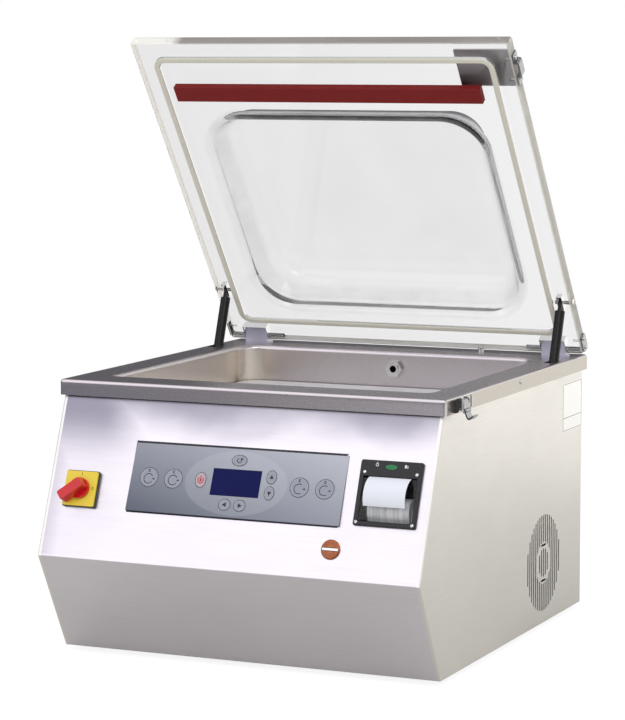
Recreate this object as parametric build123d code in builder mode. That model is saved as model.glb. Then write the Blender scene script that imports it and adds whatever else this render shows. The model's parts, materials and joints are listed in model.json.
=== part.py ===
# Table-top vacuum chamber sealer, modelled as an assembly of its separate pieces.
# Millimetres, +Z up, front towards -Y. The pieces are drawn about the case's middle and
# saved about the outline's, which the latch on the right side shifts a little. The lid is
# modelled standing open, as at rest.
from build123d import *
from math import atan2, cos, degrees, hypot, radians, sin, sqrt, tan
import os

os.makedirs("parts", exist_ok=True)


def save(builder, name):
    """Set a finished piece about the outline's middle, label it and write its STEP file."""
    piece = builder.part.moved(Location((case_middle_x, 0, 0)))
    piece.label = name
    export_step(piece, "parts/" + name + ".step")


# ------------------------------------------------------------------ driving dimensions

# Case: a folded sheet box whose front is bent outwards to a knee
case_width = 544.0
case_rear_y = 306.0
case_sheet = 1.2
case_bend = 2.0            # outer radius of the folds
side_flange = 5.0          # width of the folds that carry the front and rear sheets
foot_height = 7.0          # clear height under the case
knee_y = -316.0
knee_z = 141.5
base_front_y = -243.0
front_top_y = -236.0       # upper front sheet where it meets the rim's lower edge
foot_return = 30.0         # front sheet's fold under the case
base_thickness = 2.0
foot_radius = 18.0
foot_x = 225.0
foot_front_y = -160.0
foot_rear_y = 268.0
inlet_x = -190.0
inlet_z = 60.0
inlet_width = 28.0
inlet_height = 48.0
vent_length = 70.0
vent_pitch = 12.0

# Rim and deep-drawn chamber, one pressing
rim_overhang = 5.0         # rim beyond the case, on each side
rim_depth = 558.0
rim_front_y = -242.0
rim_top_z = 367.5
rim_height = 21.0
rim_edge_radius = 4.2
rim_corner_radius = 4.5
chamber_sheet = 1.5
chamber_land = 47.0        # flat of the rim beside the chamber
chamber_front_gap = 15.0   # front wall to the seal bar's middle
chamber_rear_y = 238.0
chamber_depth = 112.0
chamber_corner_radius = 32.0
chamber_front_corner_radius = 8.0
chamber_floor_radius = 6.0
chamber_mouth_radius = 6.0

# Lid
lid_open_angle = 54.0
lid_overhang = 1.0         # lid beyond the rim, on each side
lid_front_reach = 541.5    # hinge axis to front edge
lid_rear_reach = 5.0       # hinge axis to rear edge
lid_thickness = 20.0
lid_rest_gap = 2.3         # closed lid above the rim, gasket just touching
lid_edge_chamfer = 1.5
lid_front_chamfer = 5.0    # along the outer front edge
dome_width = 414.0         # at the lid's outer face
dome_length = 346.0
dome_centre_reach = 236.0  # hinge axis to middle of the dome
dome_height = 50.0
dome_wall = 9.0
dome_corner_radius = 58.0
dome_slope = 24.0          # draft of the dome's walls
dome_top_radius = 34.0
dome_foot_radius = 12.0
dome_mouth_radius = 14.0   # the plate rolls over into the hollow
lid_fit = 0.1              # clearance of what is let into the lid

# Lid hinges
hinge_axis_y = 295.0
hinge_pin_radius = 3.5
hinge_pin_clearance = 0.05
hinge_block_inset = 41.7   # block's middle from the rim's side
hinge_block_width = 36.0
hinge_block_depth = 20.0
hinge_block_height = 28.5
hinge_block_chamfer = 8.5
hinge_notch_gap = 1.2      # lid notch round the block
hinge_notch_reach = 18.5
hinge_pin_overlap = 25.0   # pin let into the lid inside the block
end_plate_thickness = 3.0
end_plate_length = 26.0
end_plate_height = 16.0
end_plate_screw_ahead = 7.0  # in front of the plate's middle

# Lid fittings
gasket_inset = 30.0        # middle of the gasket from the lid's side
gasket_front_inset = 28.5  # middle of the gasket from the lid's front edge
gasket_rear_reach = 33.0
gasket_width = 8.0
gasket_corner_radius = 15.0
gasket_depth = 5.0
gasket_stand_out = 2.0
counter_bar_width = 24.0
counter_bar_height = 10.0
counter_bar_inset = 52.0   # middle of the bar from the gasket's front middle
corner_plate_width = 79.0
corner_plate_length = 59.5
corner_plate_thickness = 2.0
corner_plate_inset = 5.5
corner_plate_front_inset = 19.5
catch_front_inset = 47.0   # middle of the catch from the lid's front edge
catch_length = 48.0
catch_height = 14.0
catch_thickness = 2.5
catch_stand_out = 8.0
catch_screw_spacing = 33.0
lid_screw_radius = 1.8
lid_screw_length = 12.0

# Gas springs
strut_inset = 14.8         # spring's middle from the rim's side
strut_pivot_reach = 89.0
strut_pivot_height = 7.0   # above the lid's underside
strut_lean = 20.0          # from the vertical, lid open
strut_open_length = 250.0
strut_radius = 7.0
strut_head = 15.0          # pivot to top of cylinder
strut_cylinder_length = 128.0
strut_rod_radius = 3.0
strut_eye_thickness = 5.0
strut_pocket_length = 26.0
strut_pocket_depth = 14.0
strut_stud_overlap = 8.2   # stud let into the lid beyond the spring
strut_pin_radius = 3.0
strut_lower_pin_radius = 4.0
strut_slot_swing = 5.0     # free play of the opened lower pivot, across the rod
strut_slot_slip = 1.4      # and along the rod
strut_pin_across = -4.4    # where the lower pin stands in its slot, lid open
strut_pin_along = 0.63
strut_bracket_length = 44.0
strut_bracket_height = 34.0
strut_bracket_thickness = 3.0
strut_collar = 3.0         # collar round the lower pin, beside the rod's eye
rim_slot_width = 16.0
rim_slot_front_y = 187.0
rim_slot_rear_y = 219.5

# Lid switch
plunger_x = 126.0
plunger_y = 282.0
plunger_radius = 4.0
plunger_stand_out = 8.3
plunger_travel = 6.5
plunger_length = 26.0

# Latch on the rim's right side
latch_axle_out = 7.0       # from the rim's side face
latch_axle_z = 362.0
latch_axle_radius = 2.0
latch_base_width = 24.0
latch_base_thickness = 1.5
latch_ear_thickness = 1.5
latch_ear_reach = 4.0      # ears beyond the axle
latch_lever_width = 17.0
lever_thickness = 2.0
lever_knee_out = 9.5       # lever's lower bend, out from the axle
lever_knee_drop = 25.5     # and down from it
lever_tip_out = 17.0
lever_tip_drop = 18.5
lever_hole_radius = 2.2
latch_bail_drop = 12.0     # axle down to the bail's pin
latch_bail_out = 4.5       # axle out to the bail's pin
latch_bail_height = 20.0
latch_wire_radius = 1.25

# Seal bar
seal_bar_end_gap = 2.5     # to the chamber's side walls
seal_bar_width = 14.0
seal_bar_height = 16.0
seal_bar_lift = 11.5
seal_bar_press_gap = 0.5
seal_cylinder_x = 150.0
seal_cylinder_radius = 11.0
seal_cylinder_height = 48.0
seal_rod_radius = 4.0

# Vacuum nozzle in the chamber's rear wall
nozzle_x = 9.5
nozzle_drop = 25.0         # below the rim's top
nozzle_thread_radius = 8.0
nozzle_thread_length = 12.0
nozzle_hex = 22.0          # across flats
nozzle_hex_depth = 7.0
nozzle_bore_radius = 5.0
nozzle_spigot_radius = 6.5
nozzle_spigot_length = 14.0

# Filler plates
filler_thickness = 20.0
filler_count = 3
filler_seat = 0.2          # between stacked plates
filler_gap = 6.0
filler_front_gap = 18.0    # from the seal bar's middle

# Controls on the upper front sheet, measured along and up the sheet from the knee
keypad_width = 304.0
keypad_height = 91.5
keypad_centre_up = 114.8
keypad_tilt_out = 3.5      # lower edge stands out of the sheet
keypad_wall = 4.0
keypad_depth = 14.0
keypad_lip = 8.0
control_gap = 0.5
display_width = 69.0
display_height = 35.6
display_up = 115.3
key_gap = 0.25
key_travel = 0.8
key_stand_out = 0.6
key_flange = 1.0           # key's retaining flange behind the face
round_key_radius = 13.2
round_key_up = 115.2
round_key_inset = 26.4      # outer round keys from the keypad's ends
round_key_spacing = 35.6
stop_key_x = -50.5
stop_key_up = 116.1
stop_key_width = 16.0
stop_key_height = 21.0
set_key_up = 145.2
set_key_width = 22.0
set_key_height = 15.0
step_key_x = 49.3
step_key_spacing = 21.2
step_key_width = 14.4
step_key_height = 18.4
shift_key_up = 85.6
shift_key_spacing = 21.4
shift_key_width = 17.0
shift_key_height = 15.5
printer_width = 85.4
printer_height = 85.6
printer_inset = 58.9       # printer's middle from the case's side
printer_centre_up = 114.7
printer_frame_out = 3.5
printer_depth = 50.0
printer_wall = 3.0
printer_header = 21.0
printer_flange = 3.0
printer_door_thickness = 2.5
printer_button_width = 16.0
printer_button_height = 6.6
printer_button_up = 149.0
door_gap = 1.2             # round the printer's door
paper_thickness = 0.4
paper_tongue_length = 38.0
paper_tongue_out = 10.5    # free end of the paper, in front of the sheet
paper_width = 57.0
paper_roll_radius = 17.0
paper_core_radius = 5.0
switch_inset = 50.2        # switch's middle from the case's side
switch_centre_up = 92.6
switch_plate_size = 46.5
switch_plate_thickness = 2.5
switch_base_size = 49.0
switch_base_thickness = 4.0
switch_body_depth = 38.0
switch_shaft_radius = 5.0
knob_radius = 14.0
knob_base_height = 5.0
knob_height = 19.0
knob_handle_length = 26.0
knob_handle_width = 15.0
knob_handle_turn = 218.0   # direction of the handle, from the right, seen from the front
switch_neck_radius = 15.0
badge_inset = 126.9        # badge's middle from the case's side
badge_up = 38.8
badge_radius = 13.0
badge_height = 2.4
badge_stem_radius = 2.5

# Side grille and fan
grille_y = 145.0
grille_z = 92.5
grille_radius = 68.0
grille_ring_inner = 20.6
grille_ring_outer = 29.4
grille_columns = 17
grille_slot_width = 4.0
fan_size = 119.0
fan_depth = 38.0
fan_bore_radius = 56.0
fan_blades = 7
fan_hub_radius = 21.0
fan_blade_chord = 26.0
fan_spindle_radius = 4.0
fan_back = 3.0             # thickness of the hub plate and its spokes
fan_spoke_width = 7.0
fan_hole_inset = 7.0
fan_hole_radius = 2.2

# Vacuum pump, its motor and the transformer, standing on the base tray
pump_front_y = 120.0
pump_rear_y = 296.0
pump_half_width = 62.0
pump_height = 120.0        # above the tray
motor_axis_height = 68.0
motor_radius = 55.0
motor_front_y = -95.0
motor_fins = 18
valve_top_z = 262.0
valve_size = 36.0
valve_inset = 28.0         # valve's middle from the rear sheet
valve_coil_radius = 14.0
valve_coil_length = 30.0
valve_neck = 14.0
pump_foot_radius = 10.0
pump_foot_height = 12.0
pump_port_radius = 11.0
pump_rib_height = 8.0
pump_rib_thickness = 3.0
pump_rib_pitch = 14.0
pump_ribs = 8
motor_cap_length = 30.0
motor_flange_length = 10.0
motor_fin_height = 5.0
motor_fin_thickness = 3.0
motor_foot_width = 90.0
motor_foot_length = 60.0
transformer_x = -170.0
transformer_y = -60.0
core_width = 100.0
core_height = 84.0
core_depth = 50.0
core_window_width = 18.0
core_window_height = 50.0
core_limb = 25.0           # middle of the core to the middle of each window
core_foot_overhang = 10.0
core_foot_thickness = 6.0
coil_gap = 2.0             # winding inside the windows' height
coil_overhang = 15.0       # winding in front of and behind the core

# ------------------------------------------------------------------ derived frame

case_half = case_width / 2
rim_half = case_half + rim_overhang
rim_width = 2 * rim_half
chamber_width = rim_width - 2 * chamber_land
lid_half_width = rim_half + lid_overhang
hinge_block_x = rim_half - hinge_block_inset
hinge_pin_inner_x = hinge_block_x - hinge_block_width / 2 - hinge_pin_overlap
strut_x = rim_half - strut_inset
strut_stud_inner_x = strut_x - strut_stud_overlap
gasket_half_span = lid_half_width - gasket_inset
seal_bar_length = chamber_width - 2 * seal_bar_end_gap
printer_centre_x = case_half - printer_inset
switch_centre_x = switch_inset - case_half
badge_x = case_half - badge_inset
outer_round_key_x = keypad_width / 2 - round_key_inset
inner_round_key_x = outer_round_key_x - round_key_spacing
latch_axle_x = rim_half + latch_axle_out
outline_right = latch_axle_x + lever_tip_out
outline_left = lid_half_width + end_plate_thickness
case_middle_x = (outline_left - outline_right) / 2
rim_bottom_z = rim_top_z - rim_height
rim_under_z = rim_top_z - chamber_sheet
rim_centre_y = rim_front_y + rim_depth / 2
hinge_axis_z = rim_top_z + lid_rest_gap + lid_thickness / 2
catch_reach = lid_front_reach - catch_front_inset
gasket_front_reach = lid_front_reach - gasket_front_inset
counter_bar_reach = gasket_front_reach - counter_bar_inset
seal_bar_y = hinge_axis_y - counter_bar_reach
chamber_front_y = seal_bar_y - chamber_front_gap
filler_front_y = seal_bar_y + filler_front_gap
chamber_centre_y = (chamber_front_y + chamber_rear_y) / 2
chamber_length = chamber_rear_y - chamber_front_y
chamber_floor_z = rim_top_z - chamber_depth
front_lean = degrees(atan2(front_top_y - knee_y, rim_bottom_z - knee_z))
case_top_z = rim_under_z - 0.3
case_top_y = knee_y + (case_top_z - knee_z) * tan(radians(front_lean))
inner_half = case_half - case_sheet

# Upper front sheet: local X to the right, local Y up the slope, local Z outwards
front_face = Plane(
    origin=(0, knee_y, knee_z),
    x_dir=(1, 0, 0),
    z_dir=(0, -cos(radians(front_lean)), sin(radians(front_lean))),
)

# Lid frame on the hinge axis: local X to the right, local Y to the lid's rear edge,
# local Z to its outer face, so it reads like the closed lid
lid_frame = Plane(
    origin=(0, hinge_axis_y, hinge_axis_z),
    x_dir=(1, 0, 0),
    z_dir=(0, sin(radians(lid_open_angle)), cos(radians(lid_open_angle))),
)
lid_under = -lid_thickness / 2
lid_over = lid_thickness / 2


def lid_plane(height):
    """Plane parallel to the lid, at a height above its middle."""
    return lid_frame.offset(height)


def side_plane(x):
    """Upright plane facing +X, with local X along +Y and local Y along +Z."""
    return Plane.YZ.offset(x)


# ------------------------------------------------------------------ case

case_profile = [
    (base_front_y, foot_height),
    (knee_y, knee_z),
    (case_top_y, case_top_z),
    (case_rear_y, case_top_z),
    (case_rear_y, foot_height),
]


def side_panel(sign):
    """Side sheet with folded edges at the front, foot and rear."""
    outer = sign * case_half
    with BuildPart() as panel:
        with BuildSketch(side_plane(outer)):
            with BuildLine():
                Polyline(*case_profile, close=True)
            make_face()
        extrude(amount=-sign * side_flange)
        folds = panel.edges().filter_by(
            lambda edge: abs(edge.center().X - outer) < 0.01
            and edge.center().Z < case_top_z - 1
        )
        fillet(folds, case_bend)
        with BuildSketch(side_plane(outer - sign * case_sheet)):
            with BuildLine():
                rise = case_sheet / cos(radians(front_lean))
                foot_lean = atan2(base_front_y - knee_y, knee_z - foot_height)
                run = case_sheet / cos(foot_lean)
                foot_in = base_front_y + run - case_sheet * tan(foot_lean)
                knee_in = case_sheet / cos((foot_lean + radians(front_lean)) / 2)
                turn = (foot_lean - radians(front_lean)) / 2
                Polyline(
                    (foot_in, foot_height + case_sheet),
                    (knee_y + knee_in * cos(turn), knee_z + knee_in * sin(turn)),
                    (case_top_y + rise, case_top_z),
                    (case_top_y + rise, case_top_z + 1),
                    (case_rear_y - case_sheet, case_top_z + 1),
                    (case_rear_y - case_sheet, foot_height + case_sheet),
                    close=True,
                )
            make_face()
        extrude(amount=-sign * side_flange, mode=Mode.SUBTRACT)
    return panel


left_side_panel = side_panel(-1)
save(left_side_panel, "left_side_panel")

# The right side sheet has the fan grille: upright slots in a circle, with a plain ring
right_blank = side_panel(1)
with BuildPart() as right_side_panel:
    add(right_blank.part)
    grille_pitch = 2 * grille_radius / grille_columns
    grille_face = Plane(
        origin=(case_half, grille_y, grille_z), x_dir=(0, 1, 0), z_dir=(1, 0, 0)
    )
    half_columns = grille_columns // 2
    columns = [i * grille_pitch for i in range(-half_columns, half_columns + 1)]
    with BuildSketch(grille_face) as grille:
        for across in columns:
            reach = sqrt(grille_radius**2 - across**2)
            with Locations((across, 0)):
                SlotOverall(2 * reach, grille_slot_width, rotation=90)
        Circle(grille_ring_outer, mode=Mode.SUBTRACT)
        for across in columns:
            if abs(across) < grille_ring_inner - grille_slot_width:
                reach = sqrt(grille_ring_inner**2 - across**2)
                with Locations((across, 0)):
                    SlotOverall(2 * reach, grille_slot_width, rotation=90)
        ring_middle = (grille_ring_inner + grille_ring_outer) / 2
        with Locations((0, ring_middle), (0, -ring_middle)):
            SlotOverall(20, 3)
    extrude(amount=-2 * case_sheet, mode=Mode.SUBTRACT)
save(right_side_panel, "right_side_panel")

# Front sheet between the side folds, bent at the foot and the knee
front_half = case_half - side_flange
keypad_frame = Plane(
    origin=front_face.from_local_coords((0, keypad_centre_up, 0)),
    x_dir=(1, 0, 0),
    z_dir=front_face.z_dir,
)
printer_frame_plane = Plane(
    origin=front_face.from_local_coords((printer_centre_x, printer_centre_up, 0)),
    x_dir=(1, 0, 0),
    z_dir=front_face.z_dir,
)
switch_frame = Plane(
    origin=front_face.from_local_coords((switch_centre_x, switch_centre_up, 0)),
    x_dir=(1, 0, 0),
    z_dir=front_face.z_dir,
)
badge_frame = Plane(
    origin=front_face.from_local_coords((badge_x, badge_up, 0)),
    x_dir=(1, 0, 0),
    z_dir=front_face.z_dir,
)
printer_body_width = printer_width - 2 * printer_flange
printer_body_height = printer_height - 2 * printer_flange
with BuildPart() as front_panel:
    with BuildSketch(side_plane(-front_half)):
        with BuildLine():
            path = FilletPolyline(
                (base_front_y + foot_return, foot_height),
                (base_front_y, foot_height),
                (knee_y, knee_z),
                (case_top_y, case_top_z),
                radius=case_bend,
            )
            offset(path, amount=case_sheet, side=Side.RIGHT)
        make_face()
    extrude(amount=2 * front_half)
    with BuildSketch(keypad_frame.offset(10)):
        Rectangle(keypad_width + 2 * control_gap, keypad_height + 2 * control_gap)
    extrude(amount=-20, mode=Mode.SUBTRACT)
    with BuildSketch(printer_frame_plane.offset(10)):
        Rectangle(
            printer_body_width + 2 * control_gap, printer_body_height + 2 * control_gap
        )
    extrude(amount=-20, mode=Mode.SUBTRACT)
    with BuildSketch(switch_frame.offset(10)):
        Circle(switch_neck_radius + control_gap)
    extrude(amount=-20, mode=Mode.SUBTRACT)
    with BuildSketch(badge_frame.offset(10)):
        Circle(badge_stem_radius + 0.1)
    extrude(amount=-20, mode=Mode.SUBTRACT)
save(front_panel, "front_panel")

# Rear sheet with the mains inlet's opening and a row of vent slots
with BuildPart() as rear_panel:
    with BuildSketch(Plane.XZ.offset(-case_rear_y)):
        with Locations((0, (foot_height + case_top_z) / 2)):
            Rectangle(2 * front_half, case_top_z - foot_height)
        with Locations((inlet_x, inlet_z)):
            Rectangle(
                inlet_width + 2 * control_gap,
                inlet_height + 2 * control_gap,
                mode=Mode.SUBTRACT,
            )
        with Locations((-130, 150), (130, 150)):
            with GridLocations(0, vent_pitch, 1, 6):
                SlotOverall(vent_length, 4, mode=Mode.SUBTRACT)
    extrude(amount=case_sheet)
save(rear_panel, "rear_panel")

# Base tray lying on the folds
base_top_z = foot_height + case_sheet + base_thickness
with BuildPart() as base_plate:
    with BuildSketch(Plane.XY.offset(foot_height + case_sheet)):
        front_edge = base_front_y + 3
        rear_edge = case_rear_y - case_sheet
        with Locations((0, (front_edge + rear_edge) / 2)):
            Rectangle(2 * inner_half - 0.6, rear_edge - front_edge)
    extrude(amount=base_thickness)
save(base_plate, "base_plate")

# Four rubber feet under the base tray
foot_places = [
    (side * foot_x, along) for side in (-1, 1) for along in (foot_front_y, foot_rear_y)
]
with BuildPart() as rubber_feet:
    with BuildSketch():
        with Locations(*foot_places):
            Circle(foot_radius - 1.5)
    extrude(amount=foot_height + case_sheet, taper=-6)
save(rubber_feet, "rubber_feet")

# Mains inlet in the rear sheet: flange outside, body inside, three contact slots
with BuildPart() as power_inlet:
    with BuildSketch(Plane.XZ.offset(-case_rear_y)):
        with Locations((inlet_x, inlet_z)):
            RectangleRounded(inlet_width + 12, inlet_height + 4, 3)
    extrude(amount=-3)
    with BuildSketch(Plane.XZ.offset(-case_rear_y)):
        with Locations((inlet_x, inlet_z)):
            Rectangle(inlet_width, inlet_height)
    extrude(amount=20)
    with BuildSketch(Plane.XZ.offset(-case_rear_y - 3)):
        with Locations((inlet_x, inlet_z)):
            RectangleRounded(inlet_width - 5, inlet_height - 24, 3)
    extrude(amount=16, mode=Mode.SUBTRACT)
save(power_inlet, "power_inlet")

# ------------------------------------------------------------------ chamber

with BuildPart() as rim_hollow:
    with BuildSketch(Plane.XY.offset(rim_bottom_z)):
        with Locations((0, rim_centre_y)):
            RectangleRounded(
                rim_width - 2 * chamber_sheet,
                rim_depth - 2 * chamber_sheet,
                rim_corner_radius - chamber_sheet,
            )
    extrude(amount=rim_height - chamber_sheet)
    fillet(
        rim_hollow.faces().sort_by(Axis.Z)[-1].edges(),
        rim_edge_radius - chamber_sheet,
    )


def pan_outline(margin):
    """Chamber's plan outline, grown by a margin; its front corners are tighter."""
    with BuildSketch() as outline:
        with Locations((0, chamber_centre_y)):
            Rectangle(chamber_width + 2 * margin, chamber_length + 2 * margin)
        rows = outline.vertices().group_by(Axis.Y)
        fillet(rows[-1], chamber_corner_radius + margin)
        rows = outline.vertices().group_by(Axis.Y)
        fillet(rows[0], chamber_front_corner_radius + margin)
    return outline.sketch


with BuildPart() as tub_hollow:
    with BuildSketch(Plane.XY.offset(chamber_floor_z)):
        add(pan_outline(0))
    extrude(amount=chamber_depth)
    fillet(tub_hollow.faces().sort_by(Axis.Z)[0].edges(), chamber_floor_radius)

nozzle_plane = Plane(
    origin=(nozzle_x, chamber_rear_y, rim_top_z - nozzle_drop),
    x_dir=(1, 0, 0),
    z_dir=(0, -1, 0),
)
with BuildPart() as vacuum_chamber:
    with BuildSketch(Plane.XY.offset(rim_bottom_z)):
        with Locations((0, rim_centre_y)):
            RectangleRounded(rim_width, rim_depth, rim_corner_radius)
    extrude(amount=rim_height)
    fillet(vacuum_chamber.faces().sort_by(Axis.Z)[-1].edges(), rim_edge_radius)
    add(rim_hollow.part, mode=Mode.SUBTRACT)
    tub_outer = chamber_width + 2 * chamber_sheet
    with BuildSketch(Plane.XY.offset(chamber_floor_z - chamber_sheet)):
        add(pan_outline(chamber_sheet))
    extrude(amount=chamber_depth)
    fillet(
        vacuum_chamber.faces().sort_by(Axis.Z)[0].edges(),
        chamber_floor_radius + chamber_sheet,
    )
    under_edges = (
        vacuum_chamber.edges()
        .filter_by(lambda edge: abs(edge.center().Z - rim_under_z) < 0.01)
        .filter_by(
            lambda edge: abs(edge.center().X) < tub_outer / 2 + 0.1
            and abs(edge.center().Y - chamber_centre_y)
            < chamber_length / 2 + chamber_sheet + 0.1
        )
    )
    fillet(under_edges, chamber_mouth_radius - chamber_sheet)
    add(tub_hollow.part, mode=Mode.SUBTRACT)
    mouth_edges = vacuum_chamber.edges().filter_by(
        lambda edge: abs(edge.center().Z - rim_top_z) < 0.01
        and abs(edge.center().X) < chamber_width / 2 + 0.1
        and abs(edge.center().Y - chamber_centre_y) < chamber_length / 2 + 0.1
    )
    fillet(mouth_edges, chamber_mouth_radius)
    # slots for the gas springs
    with BuildSketch(Plane.XY.offset(rim_top_z)):
        slot_y = (rim_slot_front_y + rim_slot_rear_y) / 2
        with Locations((-strut_x, slot_y), (strut_x, slot_y)):
            RectangleRounded(rim_slot_width, rim_slot_rear_y - rim_slot_front_y, 3)
    extrude(amount=-2 * chamber_sheet, mode=Mode.SUBTRACT)
    # holes for the vacuum nozzle and for the lid switch's plunger
    with BuildSketch(nozzle_plane):
        Circle(nozzle_thread_radius + 0.1)
    extrude(amount=-2 * chamber_sheet, mode=Mode.SUBTRACT)
    with BuildSketch(Plane.XY.offset(rim_top_z)):
        with Locations((plunger_x, plunger_y)):
            Circle(plunger_radius + 0.3)
    extrude(amount=-2 * chamber_sheet, mode=Mode.SUBTRACT)
save(vacuum_chamber, "vacuum_chamber")

# Screwed vacuum nozzle: hexagon inside the chamber; nut, thread and hose spigot behind
with BuildPart() as chamber_nozzle:
    with BuildSketch(nozzle_plane):
        RegularPolygon(nozzle_hex / 2, 6, major_radius=False)
    extrude(amount=nozzle_hex_depth)
    with BuildSketch(nozzle_plane.offset(nozzle_hex_depth)):
        Circle(nozzle_thread_radius)
    extrude(amount=1.5)
    with BuildSketch(nozzle_plane):
        Circle(nozzle_thread_radius)
    extrude(amount=-nozzle_thread_length)
    with BuildSketch(nozzle_plane.offset(-chamber_sheet)):
        RegularPolygon(nozzle_hex / 2 + 1, 6, major_radius=False)
    extrude(amount=-6)
    with BuildSketch(nozzle_plane.offset(-nozzle_thread_length)):
        Circle(nozzle_spigot_radius)
    extrude(amount=-nozzle_spigot_length)
    with BuildSketch(nozzle_plane.offset(nozzle_hex_depth + 1.5)):
        Circle(nozzle_bore_radius)
    extrude(
        amount=-(nozzle_hex_depth + 1.5 + nozzle_thread_length + nozzle_spigot_length),
        mode=Mode.SUBTRACT,
    )
save(chamber_nozzle, "chamber_nozzle")

# Loose plates that fill the chamber's depth behind the seal bar
filler_rear_y = chamber_rear_y - filler_gap
filler_pitch = filler_thickness + filler_seat
with BuildPart() as filler_plates:
    for level in range(filler_count):
        with BuildSketch(Plane.XY.offset(chamber_floor_z + level * filler_pitch)) as outline:
            with Locations((0, (filler_front_y + filler_rear_y) / 2)):
                Rectangle(chamber_width - 2 * filler_gap, filler_rear_y - filler_front_y)
            rear_corners = outline.vertices().group_by(Axis.Y)[-1]
            fillet(rear_corners, chamber_corner_radius - filler_gap)
        extrude(amount=filler_thickness)
save(filler_plates, "filler_plates")

# Seal bar: two lift cylinders on the chamber floor, rods, bar, heating wires and cover
seal_bar_top = (
    rim_top_z + lid_rest_gap - counter_bar_height - seal_bar_press_gap - seal_bar_lift
)
seal_bar_bottom = seal_bar_top - seal_bar_height
seal_places = [(-seal_cylinder_x, seal_bar_y), (seal_cylinder_x, seal_bar_y)]
piston_radius = seal_cylinder_radius - 2
piston_z = chamber_floor_z + 3
cylinder_top_z = chamber_floor_z + seal_cylinder_height
with BuildPart() as seal_bar_cylinders:
    with BuildSketch(Plane.XY.offset(chamber_floor_z)):
        with Locations(*seal_places):
            Circle(seal_cylinder_radius)
    extrude(amount=seal_cylinder_height)
    chamfer(seal_bar_cylinders.faces().group_by(Axis.Z)[0].edges(), 2)
    chamfer(seal_bar_cylinders.faces().group_by(Axis.Z)[-1].edges(), 1)
    with BuildSketch(Plane.XY.offset(piston_z)):
        with Locations(*seal_places):
            Circle(piston_radius + 0.1)
    extrude(amount=seal_cylinder_height - 6, mode=Mode.SUBTRACT)
    with BuildSketch(Plane.XY.offset(cylinder_top_z)):
        with Locations(*seal_places):
            Circle(seal_rod_radius + 0.1)
    extrude(amount=-10, mode=Mode.SUBTRACT)
save(seal_bar_cylinders, "seal_bar_cylinders")

with BuildPart() as seal_bar_rods:
    with BuildSketch(Plane.XY.offset(piston_z + 0.2)):
        with Locations(*seal_places):
            Circle(piston_radius)
    extrude(amount=6)
    with BuildSketch(Plane.XY.offset(piston_z + 0.2)):
        with Locations(*seal_places):
            Circle(seal_rod_radius)
    extrude(amount=seal_bar_bottom - piston_z - 0.2)
save(seal_bar_rods, "seal_bar_rods")

wire_thickness = 0.3
cover_thickness = 0.3
cover_skirt = 8.0
bar_face_z = seal_bar_top - cover_thickness - wire_thickness
with BuildPart() as seal_bar:
    with BuildSketch(Plane.YZ.offset(-seal_bar_length / 2)):
        with Locations((seal_bar_y, (seal_bar_bottom + bar_face_z) / 2)):
            Rectangle(seal_bar_width - 2 * cover_thickness, bar_face_z - seal_bar_bottom)
        with Locations((seal_bar_y - seal_bar_width / 2, seal_bar_bottom + 4)):
            Rectangle(5, 3, mode=Mode.SUBTRACT)
        with Locations((seal_bar_y + seal_bar_width / 2, seal_bar_bottom + 4)):
            Rectangle(5, 3, mode=Mode.SUBTRACT)
    extrude(amount=seal_bar_length)
save(seal_bar, "seal_bar")

with BuildPart() as seal_wires:
    with BuildSketch(Plane.XY.offset(bar_face_z)):
        with Locations((0, seal_bar_y - 3), (0, seal_bar_y + 3)):
            Rectangle(seal_bar_length, 2.5)
    extrude(amount=wire_thickness)
save(seal_wires, "seal_wires")

with BuildPart() as seal_cover:
    with BuildSketch(Plane.YZ.offset(-seal_bar_length / 2 + 4)):
        with Locations((seal_bar_y, seal_bar_top - cover_skirt / 2)):
            Rectangle(seal_bar_width, cover_skirt)
        with Locations((seal_bar_y, seal_bar_top - cover_thickness - cover_skirt / 2)):
            Rectangle(seal_bar_width - 2 * cover_thickness, cover_skirt, mode=Mode.SUBTRACT)
    extrude(amount=seal_bar_length - 8)
save(seal_cover, "seal_cover")

# ------------------------------------------------------------------ lid


def lid_point(x, reach, height):
    """Point of the lid from its hinge axis: right, forwards and up, lid closed."""
    return lid_frame.from_local_coords((x, -reach, height))


def lid_level(shape):
    """Height of a face's or edge's centre above the lid's middle."""
    return lid_frame.to_local_coords(shape.center()).Z


lid_length = lid_front_reach + lid_rear_reach
lid_middle = (lid_front_reach - lid_rear_reach) / 2
dome_spread = tan(radians(dome_slope))
end_plate_middle = end_plate_length / 2 - lid_rear_reach + 1

# Hollow under the dome, open at the lid's underside
with BuildPart() as dome_hollow:
    with BuildSketch(lid_plane(lid_under)):
        mouth_growth = lid_thickness * dome_spread - dome_wall
        with Locations((0, -dome_centre_reach)):
            RectangleRounded(
                dome_width + 2 * mouth_growth,
                dome_length + 2 * mouth_growth,
                dome_corner_radius + mouth_growth,
            )
    extrude(amount=lid_thickness + dome_height - dome_wall, taper=dome_slope)
    fillet(dome_hollow.faces().sort_by(lid_level)[-1].edges(), dome_top_radius - dome_wall)

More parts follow.
